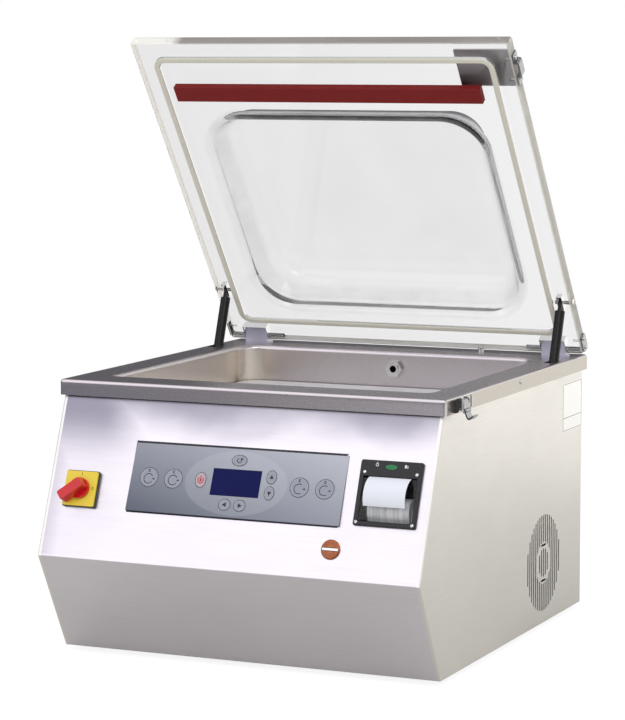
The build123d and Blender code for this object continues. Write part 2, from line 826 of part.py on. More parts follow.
with BuildPart() as lid:
    with BuildSketch(lid_plane(lid_under)):
        with Locations((0, -lid_middle)):
            Rectangle(2 * lid_half_width, lid_length)
    extrude(amount=lid_thickness)
    front_edges = lid.edges().group_by(lambda edge: lid_frame.to_local_coords(edge.center()).Y)[0]
    outer_front_edge = front_edges.sort_by(lid_level)[-1]
    chamfer(outer_front_edge, lid_front_chamfer)
    chamfer(lid.edges(), lid_edge_chamfer)
    with BuildSketch(lid_plane(lid_over)):
        with Locations((0, -dome_centre_reach)):
            RectangleRounded(dome_width, dome_length, dome_corner_radius)
    extrude(amount=dome_height, taper=dome_slope)
    fillet(lid.faces().sort_by(lid_level)[-1].edges(), dome_top_radius)
    dome_foot = lid.edges().filter_by(
        lambda edge: abs(lid_level(edge) - lid_over) < 0.01
        and abs(edge.center().X) < dome_width / 2 + 1
        and abs(lid_frame.to_local_coords(edge.center()).Y + dome_centre_reach)
        < dome_length / 2 + 1
    )
    fillet(dome_foot, dome_foot_radius)
    add(dome_hollow.part, mode=Mode.SUBTRACT)
    dome_mouth = lid.edges().filter_by(
        lambda edge: abs(lid_level(edge) - lid_under) < 0.01
        and abs(edge.center().X) < dome_width / 2 + dome_mouth_radius
        and abs(lid_frame.to_local_coords(edge.center()).Y + dome_centre_reach)
        < dome_length / 2 + dome_mouth_radius
    )
    fillet(dome_mouth, dome_mouth_radius)
    # groove for the gasket
    with BuildSketch(lid_plane(lid_under)):
        with Locations((0, -(gasket_front_reach + gasket_rear_reach) / 2)):
            RectangleRounded(
                2 * gasket_half_span + gasket_width + 2 * lid_fit,
                gasket_front_reach - gasket_rear_reach + gasket_width + 2 * lid_fit,
                gasket_corner_radius + gasket_width / 2 + lid_fit,
            )
            RectangleRounded(
                2 * gasket_half_span - gasket_width - 2 * lid_fit,
                gasket_front_reach - gasket_rear_reach - gasket_width - 2 * lid_fit,
                gasket_corner_radius - gasket_width / 2 - lid_fit,
                mode=Mode.SUBTRACT,
            )
    extrude(amount=gasket_depth + lid_fit, mode=Mode.SUBTRACT)
    # notches round the hinge blocks
    with BuildSketch(lid_plane(lid_under)):
        with Locations((-hinge_block_x, 0), (hinge_block_x, 0)):
            Rectangle(hinge_block_width + 2 * hinge_notch_gap, 2 * hinge_notch_reach)
    extrude(amount=lid_thickness, mode=Mode.SUBTRACT)
    # slots for the gas springs' heads
    with BuildSketch(lid_plane(lid_under)):
        with Locations(
            (-strut_x, -strut_pivot_reach + 1), (strut_x, -strut_pivot_reach + 1)
        ):
            Rectangle(strut_eye_thickness + 3, strut_pocket_length)
    extrude(amount=strut_pocket_depth, mode=Mode.SUBTRACT)
    # bores for the hinge pins, the spring studs and the catch's screws, from both edges
    for side in (-1, 1):
        edge_plane = Plane(
            origin=lid_point(side * lid_half_width, 0, 0),
            x_dir=lid_frame.y_dir,
            z_dir=(side, 0, 0),
        )
        with BuildSketch(edge_plane):
            Circle(hinge_pin_radius + lid_fit)
        extrude(amount=-(lid_half_width - hinge_pin_inner_x), mode=Mode.SUBTRACT)
        stud_height = (lid_under + strut_pivot_height) * side
        with BuildSketch(edge_plane):
            with Locations((-strut_pivot_reach, stud_height)):
                Circle(strut_pin_radius + lid_fit)
        extrude(amount=-(lid_half_width - strut_stud_inner_x), mode=Mode.SUBTRACT)
        screw_reaches = [end_plate_middle + end_plate_screw_ahead]
        if side > 0:
            screw_reaches.append(catch_reach - catch_screw_spacing / 2)
            screw_reaches.append(catch_reach + catch_screw_spacing / 2)
        with BuildSketch(edge_plane):
            with Locations(*[(-reach, 0) for reach in screw_reaches]):
                Circle(lid_screw_radius + lid_fit)
        extrude(amount=-lid_screw_length, mode=Mode.SUBTRACT)
save(lid, "lid")

with BuildPart() as lid_gasket:
    with BuildSketch(lid_plane(lid_under + gasket_depth)):
        with Locations((0, -(gasket_front_reach + gasket_rear_reach) / 2)):
            RectangleRounded(
                2 * gasket_half_span + gasket_width,
                gasket_front_reach - gasket_rear_reach + gasket_width,
                gasket_corner_radius + gasket_width / 2,
            )
            RectangleRounded(
                2 * gasket_half_span - gasket_width,
                gasket_front_reach - gasket_rear_reach - gasket_width,
                gasket_corner_radius - gasket_width / 2,
                mode=Mode.SUBTRACT,
            )
    extrude(amount=-(gasket_depth + gasket_stand_out))
    fillet(lid_gasket.faces().sort_by(lid_level)[0].edges(), 2)
save(lid_gasket, "lid_gasket")

with BuildPart() as counter_bar:
    with BuildSketch(lid_plane(lid_under)):
        with Locations((0, -counter_bar_reach)):
            Rectangle(seal_bar_length, counter_bar_width)
    extrude(amount=-counter_bar_height)
    fillet(counter_bar.faces().sort_by(lid_level)[0].edges(), 0.8)
save(counter_bar, "counter_bar")

with BuildPart() as lid_corner_plate:
    with BuildSketch(lid_plane(lid_over)):
        with Locations(
            (
                lid_half_width - corner_plate_inset - corner_plate_width / 2,
                corner_plate_front_inset + corner_plate_length / 2 - lid_front_reach,
            )
        ):
            RectangleRounded(corner_plate_width, corner_plate_length, 2)
    extrude(amount=corner_plate_thickness)
save(lid_corner_plate, "lid_corner_plate")

# Catch on the lid's right edge: one bent strip with a raised bridge for the latch's bail
catch_half = catch_length / 2
bridge_half = catch_half - 14
with BuildPart() as lid_catch:
    with BuildSketch(lid_plane(-catch_height / 2)):
        with BuildLine():
            strip = FilletPolyline(
                (lid_half_width, -catch_reach - catch_half),
                (lid_half_width, -catch_reach - bridge_half),
                (lid_half_width + catch_stand_out - catch_thickness, -catch_reach - bridge_half),
                (lid_half_width + catch_stand_out - catch_thickness, -catch_reach + bridge_half),
                (lid_half_width, -catch_reach + bridge_half),
                (lid_half_width, -catch_reach + catch_half),
                radius=1,
            )
            offset(strip, amount=catch_thickness, side=Side.RIGHT)
        make_face()
    extrude(amount=catch_height)
    catch_face = Plane(
        origin=lid_point(lid_half_width, catch_reach, 0),
        x_dir=lid_frame.y_dir,
        z_dir=(1, 0, 0),
    )
    with BuildSketch(catch_face):
        with GridLocations(catch_screw_spacing, 0, 2, 1):
            Circle(lid_screw_radius + lid_fit)
    extrude(amount=catch_thickness, mode=Mode.SUBTRACT)
save(lid_catch, "lid_catch")

# ------------------------------------------------------------------ lid hinges

block_half_depth = hinge_block_depth / 2
block_top_z = rim_top_z + hinge_block_height
with BuildPart() as hinge_blocks:
    for side in (-1, 1):
        with BuildSketch(side_plane(side * hinge_block_x - hinge_block_width / 2)):
            with BuildLine():
                Polyline(
                    (hinge_axis_y - block_half_depth, rim_top_z),
                    (hinge_axis_y - block_half_depth, block_top_z - hinge_block_chamfer),
                    (hinge_axis_y - block_half_depth + hinge_block_chamfer, block_top_z),
                    (hinge_axis_y + block_half_depth - hinge_block_chamfer, block_top_z),
                    (hinge_axis_y + block_half_depth, block_top_z - hinge_block_chamfer),
                    (hinge_axis_y + block_half_depth, rim_top_z),
                    close=True,
                )
            make_face()
            with Locations((hinge_axis_y, hinge_axis_z)):
                Circle(hinge_pin_radius + hinge_pin_clearance, mode=Mode.SUBTRACT)
        extrude(amount=hinge_block_width)
save(hinge_blocks, "hinge_blocks")

# Pins let into the lid, each with its end plate screwed to the lid's side edge
with BuildPart() as hinge_pins:
    for side in (-1, 1):
        with BuildSketch(side_plane(side * hinge_pin_inner_x)):
            with Locations((hinge_axis_y, hinge_axis_z)):
                Circle(hinge_pin_radius)
        extrude(amount=side * (lid_half_width - hinge_pin_inner_x))
        end_plate_plane = Plane(
            origin=lid_point(side * lid_half_width, end_plate_middle, 0),
            x_dir=lid_frame.y_dir,
            z_dir=(side, 0, 0),
        )
        with BuildSketch(end_plate_plane):
            RectangleRounded(end_plate_length, end_plate_height, 4)
        extrude(amount=end_plate_thickness)
        with BuildSketch(end_plate_plane):
            with Locations((-end_plate_screw_ahead, 0)):
                Circle(lid_screw_radius + lid_fit)
        extrude(amount=end_plate_thickness, mode=Mode.SUBTRACT)
save(hinge_pins, "hinge_pins")

# ------------------------------------------------------------------ gas springs

strut_pivot = lid_point(0, strut_pivot_reach, lid_under + strut_pivot_height)
strut_up = (0, sin(radians(strut_lean)), cos(radians(strut_lean)))
strut_across = (0, cos(radians(strut_lean)), -sin(radians(strut_lean)))
strut_clearance = 0.05


def strut_flat(x):
    """Upright plane through a spring: local X across it, local Y up along it."""
    return Plane(
        origin=(x, strut_pivot.Y, strut_pivot.Z), x_dir=strut_across, z_dir=(1, 0, 0)
    )


def strut_round(x, down):
    """Plane square to a spring, a distance down from its upper pivot, facing up."""
    plane = Plane(
        origin=(x, strut_pivot.Y, strut_pivot.Z), x_dir=(1, 0, 0), z_dir=strut_up
    )
    return plane.offset(-down)


strut_cylinder_end = strut_head + strut_cylinder_length
strut_wall = 1.5
half_eye = strut_eye_thickness / 2
with BuildPart() as strut_cylinders:
    for x in (-strut_x, strut_x):
        with BuildSketch(strut_round(x, strut_cylinder_end)):
            Circle(strut_radius)
        extrude(amount=strut_cylinder_length)
        with BuildSketch(strut_flat(x - half_eye)):
            Circle(strut_pin_radius + 2.6)
            with Locations((0, -strut_head / 2 - 1)):
                Rectangle(2 * strut_pin_radius + 3, strut_head + 2)
        extrude(amount=strut_eye_thickness)
        with BuildSketch(strut_flat(x - half_eye)):
            Circle(strut_pin_radius + strut_clearance)
        extrude(amount=strut_eye_thickness, mode=Mode.SUBTRACT)
        with BuildSketch(strut_round(x, strut_cylinder_end - 6)):
            Circle(strut_radius - strut_wall)
        extrude(amount=strut_cylinder_length - 12, mode=Mode.SUBTRACT)
        with BuildSketch(strut_round(x, strut_cylinder_end)):
            Circle(strut_rod_radius + strut_clearance)
        extrude(amount=8, mode=Mode.SUBTRACT)
save(strut_cylinders, "strut_cylinders")

# Rods with their pistons; the lower eye is an oversize slot round the bracket's pin
strut_piston_down = strut_cylinder_end - 14
with BuildPart() as strut_rods:
    for x in (-strut_x, strut_x):
        rod_length = strut_open_length - strut_piston_down
        with BuildSketch(strut_round(x, strut_open_length)):
            Circle(strut_rod_radius)
        extrude(amount=rod_length)
        with BuildSketch(strut_round(x, strut_piston_down)):
            Circle(strut_radius - strut_wall - strut_clearance)
        extrude(amount=5)
        slot_half = strut_lower_pin_radius + strut_slot_swing
        slot_height = strut_lower_pin_radius + strut_slot_slip
        with BuildSketch(strut_flat(x - half_eye)):
            with Locations((0, -strut_open_length)):
                SlotOverall(2 * slot_half + 7, 2 * slot_height + 7)
        extrude(amount=strut_eye_thickness)
        with BuildSketch(strut_flat(x - strut_radius)):
            with Locations((0, -strut_open_length)):
                SlotOverall(2 * slot_half, 2 * slot_height)
        extrude(amount=2 * strut_radius, mode=Mode.SUBTRACT)
save(strut_rods, "strut_rods")

with BuildPart() as strut_studs:
    for side in (-1, 1):
        with BuildSketch(strut_flat(side * strut_stud_inner_x)):
            Circle(strut_pin_radius)
        extrude(amount=side * (lid_half_width - strut_stud_inner_x))
        with BuildSketch(strut_flat(side * lid_half_width)):
            Circle(strut_pin_radius + 1.5)
        extrude(amount=side * 2)
save(strut_studs, "strut_studs")

# Brackets on the side sheets with the lower pins
with BuildPart() as strut_brackets:
    for side in (-1, 1):
        pin_places = Locations((strut_pin_across, -strut_open_length + strut_pin_along))
        with BuildSketch(strut_flat(side * inner_half)):
            with pin_places:
                RectangleRounded(strut_bracket_length, strut_bracket_height, 4)
        extrude(amount=-side * strut_bracket_thickness)
        with BuildSketch(strut_flat(side * inner_half)):
            with pin_places:
                Circle(strut_lower_pin_radius)
        extrude(amount=-side * (inner_half - strut_x + half_eye + 1.5 + strut_collar))
        with BuildSketch(strut_flat(side * (strut_x - half_eye - 1.5))):
            with pin_places:
                Circle(strut_lower_pin_radius + strut_collar)
        extrude(amount=-side * strut_collar)
save(strut_brackets, "strut_brackets")

# ------------------------------------------------------------------ lid switch

plunger_top_z = rim_top_z + plunger_stand_out
plunger_bottom_z = plunger_top_z - plunger_length
with BuildPart() as lid_switch_plunger:
    with BuildSketch(Plane.XY.offset(plunger_bottom_z)):
        with Locations((plunger_x, plunger_y)):
            Circle(plunger_radius)
    extrude(amount=plunger_length)
    fillet(lid_switch_plunger.faces().sort_by(Axis.Z)[-1].edges(), 1.5)
save(lid_switch_plunger, "lid_switch_plunger")

switch_body_bottom = plunger_bottom_z - plunger_travel - 6
with BuildPart() as lid_switch:
    with BuildSketch(Plane.XY.offset(switch_body_bottom)):
        with Locations((plunger_x, plunger_y)):
            RectangleRounded(24, 20, 2)
    extrude(amount=rim_under_z - switch_body_bottom)
    with BuildSketch(Plane.XY.offset(rim_under_z)):
        with Locations((plunger_x, plunger_y)):
            Circle(plunger_radius + 0.1)
    extrude(amount=-(rim_under_z - plunger_bottom_z + plunger_travel + 0.5), mode=Mode.SUBTRACT)
save(lid_switch, "lid_switch")

# ------------------------------------------------------------------ latch

latch_y = hinge_axis_y - catch_reach
latch_section = Plane.XZ.offset(-latch_y)
with BuildPart() as latch_base:
    with BuildSketch(side_plane(rim_half)):
        with Locations((latch_y, (rim_bottom_z + rim_top_z - rim_edge_radius) / 2)):
            Rectangle(latch_base_width, rim_height - rim_edge_radius - 1)
    extrude(amount=latch_base_thickness)
    for side in (-1, 1):
        ear_plane = latch_section.offset(-side * (latch_base_width / 2))
        with BuildSketch(ear_plane):
            with BuildLine():
                Polyline(
                    (rim_half, rim_bottom_z + 1),
                    (rim_half + latch_ear_reach, rim_bottom_z + 1),
                    (latch_axle_x + latch_ear_reach, latch_axle_z - latch_axle_radius),
                    (latch_axle_x + latch_ear_reach, latch_axle_z + latch_axle_radius / 2),
                    (latch_axle_x + latch_axle_radius / 2, latch_axle_z + latch_ear_reach),
                    (latch_axle_x - latch_ear_reach, latch_axle_z + latch_ear_reach),
                    (rim_half, latch_axle_z + latch_axle_radius / 2),
                    close=True,
                )
            make_face()
        extrude(amount=side * latch_ear_thickness)
    # riveted axle
    with BuildSketch(latch_section.offset(-(latch_base_width / 2 + 0.8))):
        with Locations((latch_axle_x, latch_axle_z)):
            Circle(latch_axle_radius)
    extrude(amount=latch_base_width + 1.6)
save(latch_base, "latch_base")

# Lever: knuckles on the axle and on the bail's pin, and a curved handle with a hole
lever_knuckle = latch_axle_radius + 1.5
bail_x = latch_axle_x + latch_bail_out
bail_z = latch_axle_z - latch_bail_drop
lever_tip_x = latch_axle_x + lever_tip_out
lever_tip_z = latch_axle_z - lever_tip_drop
with BuildPart() as latch_lever:
    with BuildSketch(latch_section.offset(-latch_lever_width / 2)):
        with Locations((latch_axle_x, latch_axle_z)):
            Circle(lever_knuckle)
        with Locations((bail_x, bail_z)):
            Circle(latch_wire_radius + 1.6)
        with BuildLine():
            handle = FilletPolyline(
                (latch_axle_x + lever_thickness, latch_axle_z),
                (latch_axle_x + lever_thickness, bail_z + lever_knuckle),
                (latch_axle_x + lever_knee_out, latch_axle_z - lever_knee_drop),
                (lever_tip_x, lever_tip_z),
                radius=lever_knuckle,
            )
            offset(handle, amount=lever_thickness, side=Side.LEFT)
        make_face()
    extrude(amount=latch_lever_width)
    with BuildSketch(latch_section.offset(-latch_lever_width / 2)):
        with Locations((latch_axle_x, latch_axle_z)):
            Circle(latch_axle_radius + 0.05)
        with Locations((bail_x, bail_z)):
            Circle(latch_wire_radius + 0.05)
    extrude(amount=latch_lever_width, mode=Mode.SUBTRACT)
    hole_z = latch_axle_z - (lever_knee_drop + lever_tip_drop) / 2
    with BuildSketch(side_plane(latch_axle_x + (lever_knee_out + lever_tip_out) / 2)):
        with Locations((latch_y, hole_z)):
            Circle(lever_hole_radius)
    extrude(amount=lever_tip_out, both=True, mode=Mode.SUBTRACT)
save(latch_lever, "latch_lever")

# Wire bail: its lower run is the pin in the lever, its upper run grips the catch
with BuildPart() as latch_bail:
    bail_half = latch_base_width / 2 + latch_ear_thickness + 2.5
    with BuildLine() as bail_route:
        FilletPolyline(
            (bail_x, latch_y - bail_half, bail_z),
            (bail_x, latch_y - bail_half, bail_z + latch_bail_height),
            (bail_x, latch_y + bail_half, bail_z + latch_bail_height),
            (bail_x, latch_y + bail_half, bail_z),
            (bail_x, latch_y - bail_half, bail_z),
            radius=3,
            close=False,
        )
    with BuildSketch(Plane(origin=bail_route.line @ 0, z_dir=bail_route.line % 0)):
        Circle(latch_wire_radius)
    sweep()
save(latch_bail, "latch_bail")

# ------------------------------------------------------------------ keypad

keypad_tilt = atan2(keypad_tilt_out, keypad_height)
face_lean = radians(front_lean) + keypad_tilt
keypad_face = Plane(
    origin=keypad_frame.from_local_coords((0, 0, keypad_tilt_out / 2)),
    x_dir=(1, 0, 0),
    z_dir=(0, -cos(face_lean), sin(face_lean)),
)
half_keypad = keypad_height / 2

# Name, place (right, up) and size (width, height) of each key
key_layout = [
    ("key_round_1", -outer_round_key_x, round_key_up, 2 * round_key_radius, 2 * round_key_radius),
    ("key_round_2", -inner_round_key_x, round_key_up, 2 * round_key_radius, 2 * round_key_radius),
    ("key_round_3", inner_round_key_x, round_key_up, 2 * round_key_radius, 2 * round_key_radius),
    ("key_round_4", outer_round_key_x, round_key_up, 2 * round_key_radius, 2 * round_key_radius),
    ("key_stop", stop_key_x, stop_key_up, stop_key_width, stop_key_height),
    ("key_set", 0, set_key_up, set_key_width, set_key_height),
    ("key_up", step_key_x, display_up + step_key_spacing / 2, step_key_width, step_key_height),
    ("key_down", step_key_x, display_up - step_key_spacing / 2, step_key_width, step_key_height),
    ("key_left", -shift_key_spacing / 2, shift_key_up, shift_key_width, shift_key_height),
    ("key_right", shift_key_spacing / 2, shift_key_up, shift_key_width, shift_key_height),
]


def keypad_level(shape):
    """Height of a face's centre above the keypad's face."""
    return keypad_face.to_local_coords(shape.center()).Z


def key_outline(width, height, growth):
    """Oval key outline grown all round."""
    with BuildSketch() as outline:
        Ellipse(width / 2 + growth, height / 2 + growth)
    return outline.sketch


with BuildPart() as keypad_housing:
    with BuildSketch(side_plane(-keypad_width / 2)):
        with BuildLine():
            corners = [
                (-half_keypad, keypad_tilt_out),
                (half_keypad, 0),
                (half_keypad, -keypad_depth),
                (-half_keypad, -keypad_depth),
            ]
            Polyline(
                *[
                    (keypad_frame.from_local_coords((0, up, out)).Y,
                     keypad_frame.from_local_coords((0, up, out)).Z)
                    for up, out in corners
                ],
                close=True,
            )
        make_face()
    extrude(amount=keypad_width)
    with BuildSketch(keypad_frame.offset(-case_sheet - control_gap / 2)):
        Rectangle(keypad_width + 2 * keypad_lip, keypad_height + 2 * keypad_lip)
    extrude(amount=-2.5)
    with BuildSketch(keypad_face.offset(-keypad_wall)):
        Rectangle(keypad_width - 2 * keypad_wall, keypad_height - 2 * keypad_wall)
    extrude(amount=-2 * keypad_depth, mode=Mode.SUBTRACT)
    for name, across, up, width, height in key_layout:
        with BuildSketch(keypad_face.offset(1)):
            with Locations((across, up - keypad_centre_up)):
                add(key_outline(width, height, key_gap))
        extrude(amount=-keypad_wall - 2, mode=Mode.SUBTRACT)
    with BuildSketch(keypad_face.offset(1)):
        with Locations((0, display_up - keypad_centre_up)):
            Rectangle(display_width + 2 * key_gap, display_height + 2 * key_gap)
    extrude(amount=-keypad_wall - 2, mode=Mode.SUBTRACT)
save(keypad_housing, "keypad_housing")

with BuildPart() as display:
    with BuildSketch(keypad_face.offset(-0.4)):
        with Locations((0, display_up - keypad_centre_up)):
            Rectangle(display_width, display_height)
    extrude(amount=-keypad_wall)
    with BuildSketch(keypad_face.offset(-keypad_wall)):
        with Locations((0, display_up - keypad_centre_up)):
            Rectangle(display_width + 3, display_height + 3)
    extrude(amount=-2.5)
save(display, "display")

flange_depth = keypad_wall + 0.1
flange_thickness = 1.0
for name, across, up, width, height in key_layout:
    with BuildPart() as key:
        with BuildSketch(keypad_face.offset(key_stand_out)):
            with Locations((across, up - keypad_centre_up)):
                add(key_outline(width, height, 0))
        extrude(amount=-(key_stand_out + flange_depth))
        fillet(key.faces().sort_by(keypad_level)[-1].edges(), 0.4)
        with BuildSketch(keypad_face.offset(-flange_depth)):
            with Locations((across, up - keypad_centre_up)):
                add(key_outline(width, height, key_flange))
        extrude(amount=-flange_thickness)
    save(key, name)

# Board behind the keypad, with one press switch under each key
board_thickness = 1.6
press_switch_depth = flange_depth + flange_thickness + key_travel + 0.1
with BuildPart() as control_board:
    with BuildSketch(keypad_frame.offset(-keypad_depth)):
        Rectangle(keypad_width, keypad_height)
    extrude(amount=-board_thickness)
    for name, across, up, width, height in key_layout:
        with BuildSketch(keypad_face.offset(-press_switch_depth)):
            with Locations((across, up - keypad_centre_up)):
                Circle(3)
        extrude(amount=-keypad_depth)
    with BuildSketch(keypad_frame.offset(-keypad_depth - board_thickness)):
        Rectangle(keypad_width, keypad_height)
    extrude(amount=-keypad_depth, mode=Mode.SUBTRACT)
save(control_board, "control_board")

# ------------------------------------------------------------------ label printer

body_half_width = printer_body_width / 2
body_half_height = printer_body_height / 2
pocket_half_width = body_half_width - printer_wall
pocket_bottom = -body_half_height + printer_wall
pocket_top = printer_height / 2 - printer_header
roll_middle = pocket_bottom + paper_roll_radius + 2.5
roll_depth = paper_roll_radius + 4.0
button_up = printer_button_up - printer_centre_up

# Bezel with its bucket, header and the two stub pins that carry the paper roll
with BuildPart() as printer_bezel:
    with BuildSketch(printer_frame_plane):
        RectangleRounded(printer_width, printer_height, 3)
    extrude(amount=printer_frame_out)
    chamfer(printer_bezel.faces().sort_by(Axis(Vector(), front_face.z_dir))[-1].edges(), 1)
    with BuildSketch(printer_frame_plane):
        Rectangle(printer_body_width, printer_body_height)
    extrude(amount=-printer_depth)
    with BuildSketch(printer_frame_plane.offset(printer_frame_out)):
        with Locations((0, (pocket_bottom + pocket_top) / 2)):
            Rectangle(2 * pocket_half_width, pocket_top - pocket_bottom)
    extrude(amount=-(printer_frame_out + printer_depth - printer_wall), mode=Mode.SUBTRACT)
    for side in (-1, 1):
        pin_plane = side_plane(printer_centre_x + side * pocket_half_width)
        roll_centre = printer_frame_plane.from_local_coords((0, roll_middle, -roll_depth))
        with BuildSketch(pin_plane):
            with Locations((roll_centre.Y, roll_centre.Z)):
                Circle(paper_core_radius + 3)
        extrude(amount=-side * (pocket_half_width - paper_width / 2 - 0.5))
        with BuildSketch(pin_plane):
            with Locations((roll_centre.Y, roll_centre.Z)):
                Circle(paper_core_radius - 0.3)
        extrude(amount=-side * (pocket_half_width - paper_width / 2 + 6))
    with BuildSketch(printer_frame_plane.offset(printer_frame_out)):
        with Locations((0, button_up)):
            Ellipse(printer_button_width / 2 + key_gap, printer_button_height / 2 + key_gap)
    extrude(amount=-5, mode=Mode.SUBTRACT)
save(printer_bezel, "printer_bezel")

with BuildPart() as printer_button:
    with BuildSketch(printer_frame_plane.offset(printer_frame_out + key_travel)):
        with Locations((0, button_up)):
            Ellipse(printer_button_width / 2, printer_button_height / 2)
    extrude(amount=-5 + 0.2)
save(printer_button, "printer_button")

with BuildPart() as paper_roll:
    with BuildSketch(side_plane(printer_centre_x - paper_width / 2)):
        with Locations((roll_centre.Y, roll_centre.Z)):
            Circle(paper_roll_radius)
            Circle(paper_core_radius, mode=Mode.SUBTRACT)
    extrude(amount=paper_width)
save(paper_roll, "paper_roll")

# Clear door, hinged along its rounded lower edge, with the slot for the paper above it
door_back = 0.5
door_middle = door_back + printer_door_thickness / 2
door_low = pocket_bottom + door_gap + printer_door_thickness / 2
door_high = pocket_top - door_gap - 1
door_half_width = pocket_half_width - 0.6
with BuildPart() as printer_door:
    with BuildSketch(printer_frame_plane.offset(door_back)):
        with Locations((0, (door_low + door_high) / 2)):
            Rectangle(2 * door_half_width, door_high - door_low)
    extrude(amount=printer_door_thickness)
    door_axis = printer_frame_plane.from_local_coords((0, door_low, door_middle))
    with BuildSketch(side_plane(printer_centre_x - door_half_width)):
        with Locations((door_axis.Y, door_axis.Z)):
            Circle(printer_door_thickness / 2)
    extrude(amount=2 * door_half_width)
save(printer_door, "printer_door")

# Printed strip standing out of the slot: it lies on the door's top and curls outwards
paper_root = printer_frame_plane.from_local_coords(
    (0, door_high + door_gap, door_back + 0.8 * printer_door_thickness)
)
paper_crest = printer_frame_plane.from_local_coords(
    (0, door_high - 0.45 * paper_tongue_length, paper_tongue_out + 5)
)
paper_end = printer_frame_plane.from_local_coords(
    (0, door_high - paper_tongue_length, paper_tongue_out)
)
with BuildPart() as paper_tongue:
    with BuildSketch(side_plane(printer_centre_x - paper_width / 2)):
        with BuildLine():
            curl = ThreePointArc(
                (paper_root.Y, paper_root.Z),
                (paper_crest.Y, paper_crest.Z),
                (paper_end.Y, paper_end.Z),
            )
        trace(curl, paper_thickness)
    extrude(amount=paper_width)
save(paper_tongue, "paper_tongue")

# ------------------------------------------------------------------ main switch and badge

with BuildPart() as switch_base:
    with BuildSketch(switch_frame):
        RectangleRounded(switch_base_size, switch_base_size, 3)
    extrude(amount=switch_base_thickness)
    with BuildSketch(switch_frame):
        Circle(switch_neck_radius)
    extrude(amount=-case_sheet)
    with BuildSketch(switch_frame.offset(-case_sheet)):
        RectangleRounded(switch_plate_size, switch_plate_size, 4)
    extrude(amount=-switch_body_depth)
    with BuildSketch(switch_frame.offset(switch_base_thickness)):
        Circle(switch_shaft_radius + 0.05)
    extrude(amount=-12, mode=Mode.SUBTRACT)
save(switch_base, "switch_base")

with BuildPart() as switch_plate:
    with BuildSketch(switch_frame.offset(switch_base_thickness)):
        RectangleRounded(switch_plate_size, switch_plate_size, 2)
        Circle(switch_shaft_radius + 1, mode=Mode.SUBTRACT)
    extrude(amount=switch_plate_thickness)
save(switch_plate, "switch_plate")

# Turning knob: round base, sloping handle that overhangs one corner, shaft behind
knob_seat = switch_base_thickness + switch_plate_thickness + 0.3
with BuildPart() as switch_knob:
    with BuildSketch(switch_frame.offset(knob_seat)):
        Circle(knob_radius)
    extrude(amount=knob_base_height)
    with BuildSketch(switch_frame.offset(knob_seat + knob_base_height - 1)):
        with Locations(Location((0, 0, 0), (0, 0, knob_handle_turn))):
            with Locations(((knob_handle_length - knob_radius + 2) / 2, 0)):
                RectangleRounded(
                    knob_handle_length + knob_radius - 2, knob_handle_width, 3
                )
    extrude(amount=knob_height - knob_base_height + 1, taper=4)
    with BuildSketch(switch_frame.offset(knob_seat)):
        Circle(switch_shaft_radius)
    extrude(amount=-(knob_seat - switch_base_thickness + 10))
save(switch_knob, "switch_knob")

with BuildPart() as badge:
    with BuildSketch(badge_frame):
        Circle(badge_radius)
    extrude(amount=badge_height)
    fillet(badge.faces().sort_by(Axis(Vector(), front_face.z_dir))[-1].edges(), 1.5)
    with BuildSketch(badge_frame):
        Circle(badge_stem_radius)
    extrude(amount=-case_sheet - 2)
save(badge, "badge")

# ------------------------------------------------------------------ fan behind the grille

fan_plane = Plane(
    origin=(inner_half, grille_y, grille_z), x_dir=(0, 1, 0), z_dir=(1, 0, 0)
)
with BuildPart() as fan_housing:
    with BuildSketch(fan_plane):
        RectangleRounded(fan_size, fan_size, 5)
        Circle(fan_bore_radius, mode=Mode.SUBTRACT)
        hole_span = fan_size - 2 * fan_hole_inset
        with GridLocations(hole_span, hole_span, 2, 2):
            Circle(fan_hole_radius, mode=Mode.SUBTRACT)
    extrude(amount=-fan_depth)
    with BuildSketch(fan_plane.offset(-fan_depth)):
        Circle(fan_hub_radius)
        for turn in (45, 135):
            Rectangle(2 * fan_bore_radius + 1, fan_spoke_width, rotation=turn)
    extrude(amount=fan_back)
    with BuildSketch(fan_plane.offset(-fan_depth)):
        Circle(fan_spindle_radius + 0.05)
    extrude(amount=fan_back, mode=Mode.SUBTRACT)
save(fan_housing, "fan_housing")

blade_tip_radius = fan_bore_radius - 1.5
rotor_back = fan_depth - fan_back - 0.5
rotor_front = fan_back
with BuildPart() as fan_rotor:
    with BuildSketch(fan_plane.offset(-rotor_back)):
        Circle(fan_hub_radius)
    extrude(amount=rotor_back - rotor_front)
    fillet(fan_rotor.faces().sort_by(Axis.X)[-1].edges(), 3)
    with BuildSketch(fan_plane.offset(-fan_depth)):
        Circle(fan_spindle_radius)
    extrude(amount=fan_depth - rotor_back)
    for blade in range(fan_blades):
        turn = 360 * blade / fan_blades
        outward = Plane(
            origin=fan_plane.origin + Vector(-(rotor_back + rotor_front) / 2, 0, 0),
            x_dir=(1, 0, 0),
            z_dir=(0, cos(radians(turn)), sin(radians(turn))),
        )
        with BuildSketch(outward.offset(fan_hub_radius - 2)):
            Rectangle(fan_blade_chord, 2.4, rotation=38)
        with BuildSketch(outward.offset(blade_tip_radius - 1)):
            Rectangle(fan_blade_chord, 1.6, rotation=22)
        loft()
save(fan_rotor, "fan_rotor")

# ------------------------------------------------------------------ pump and valve

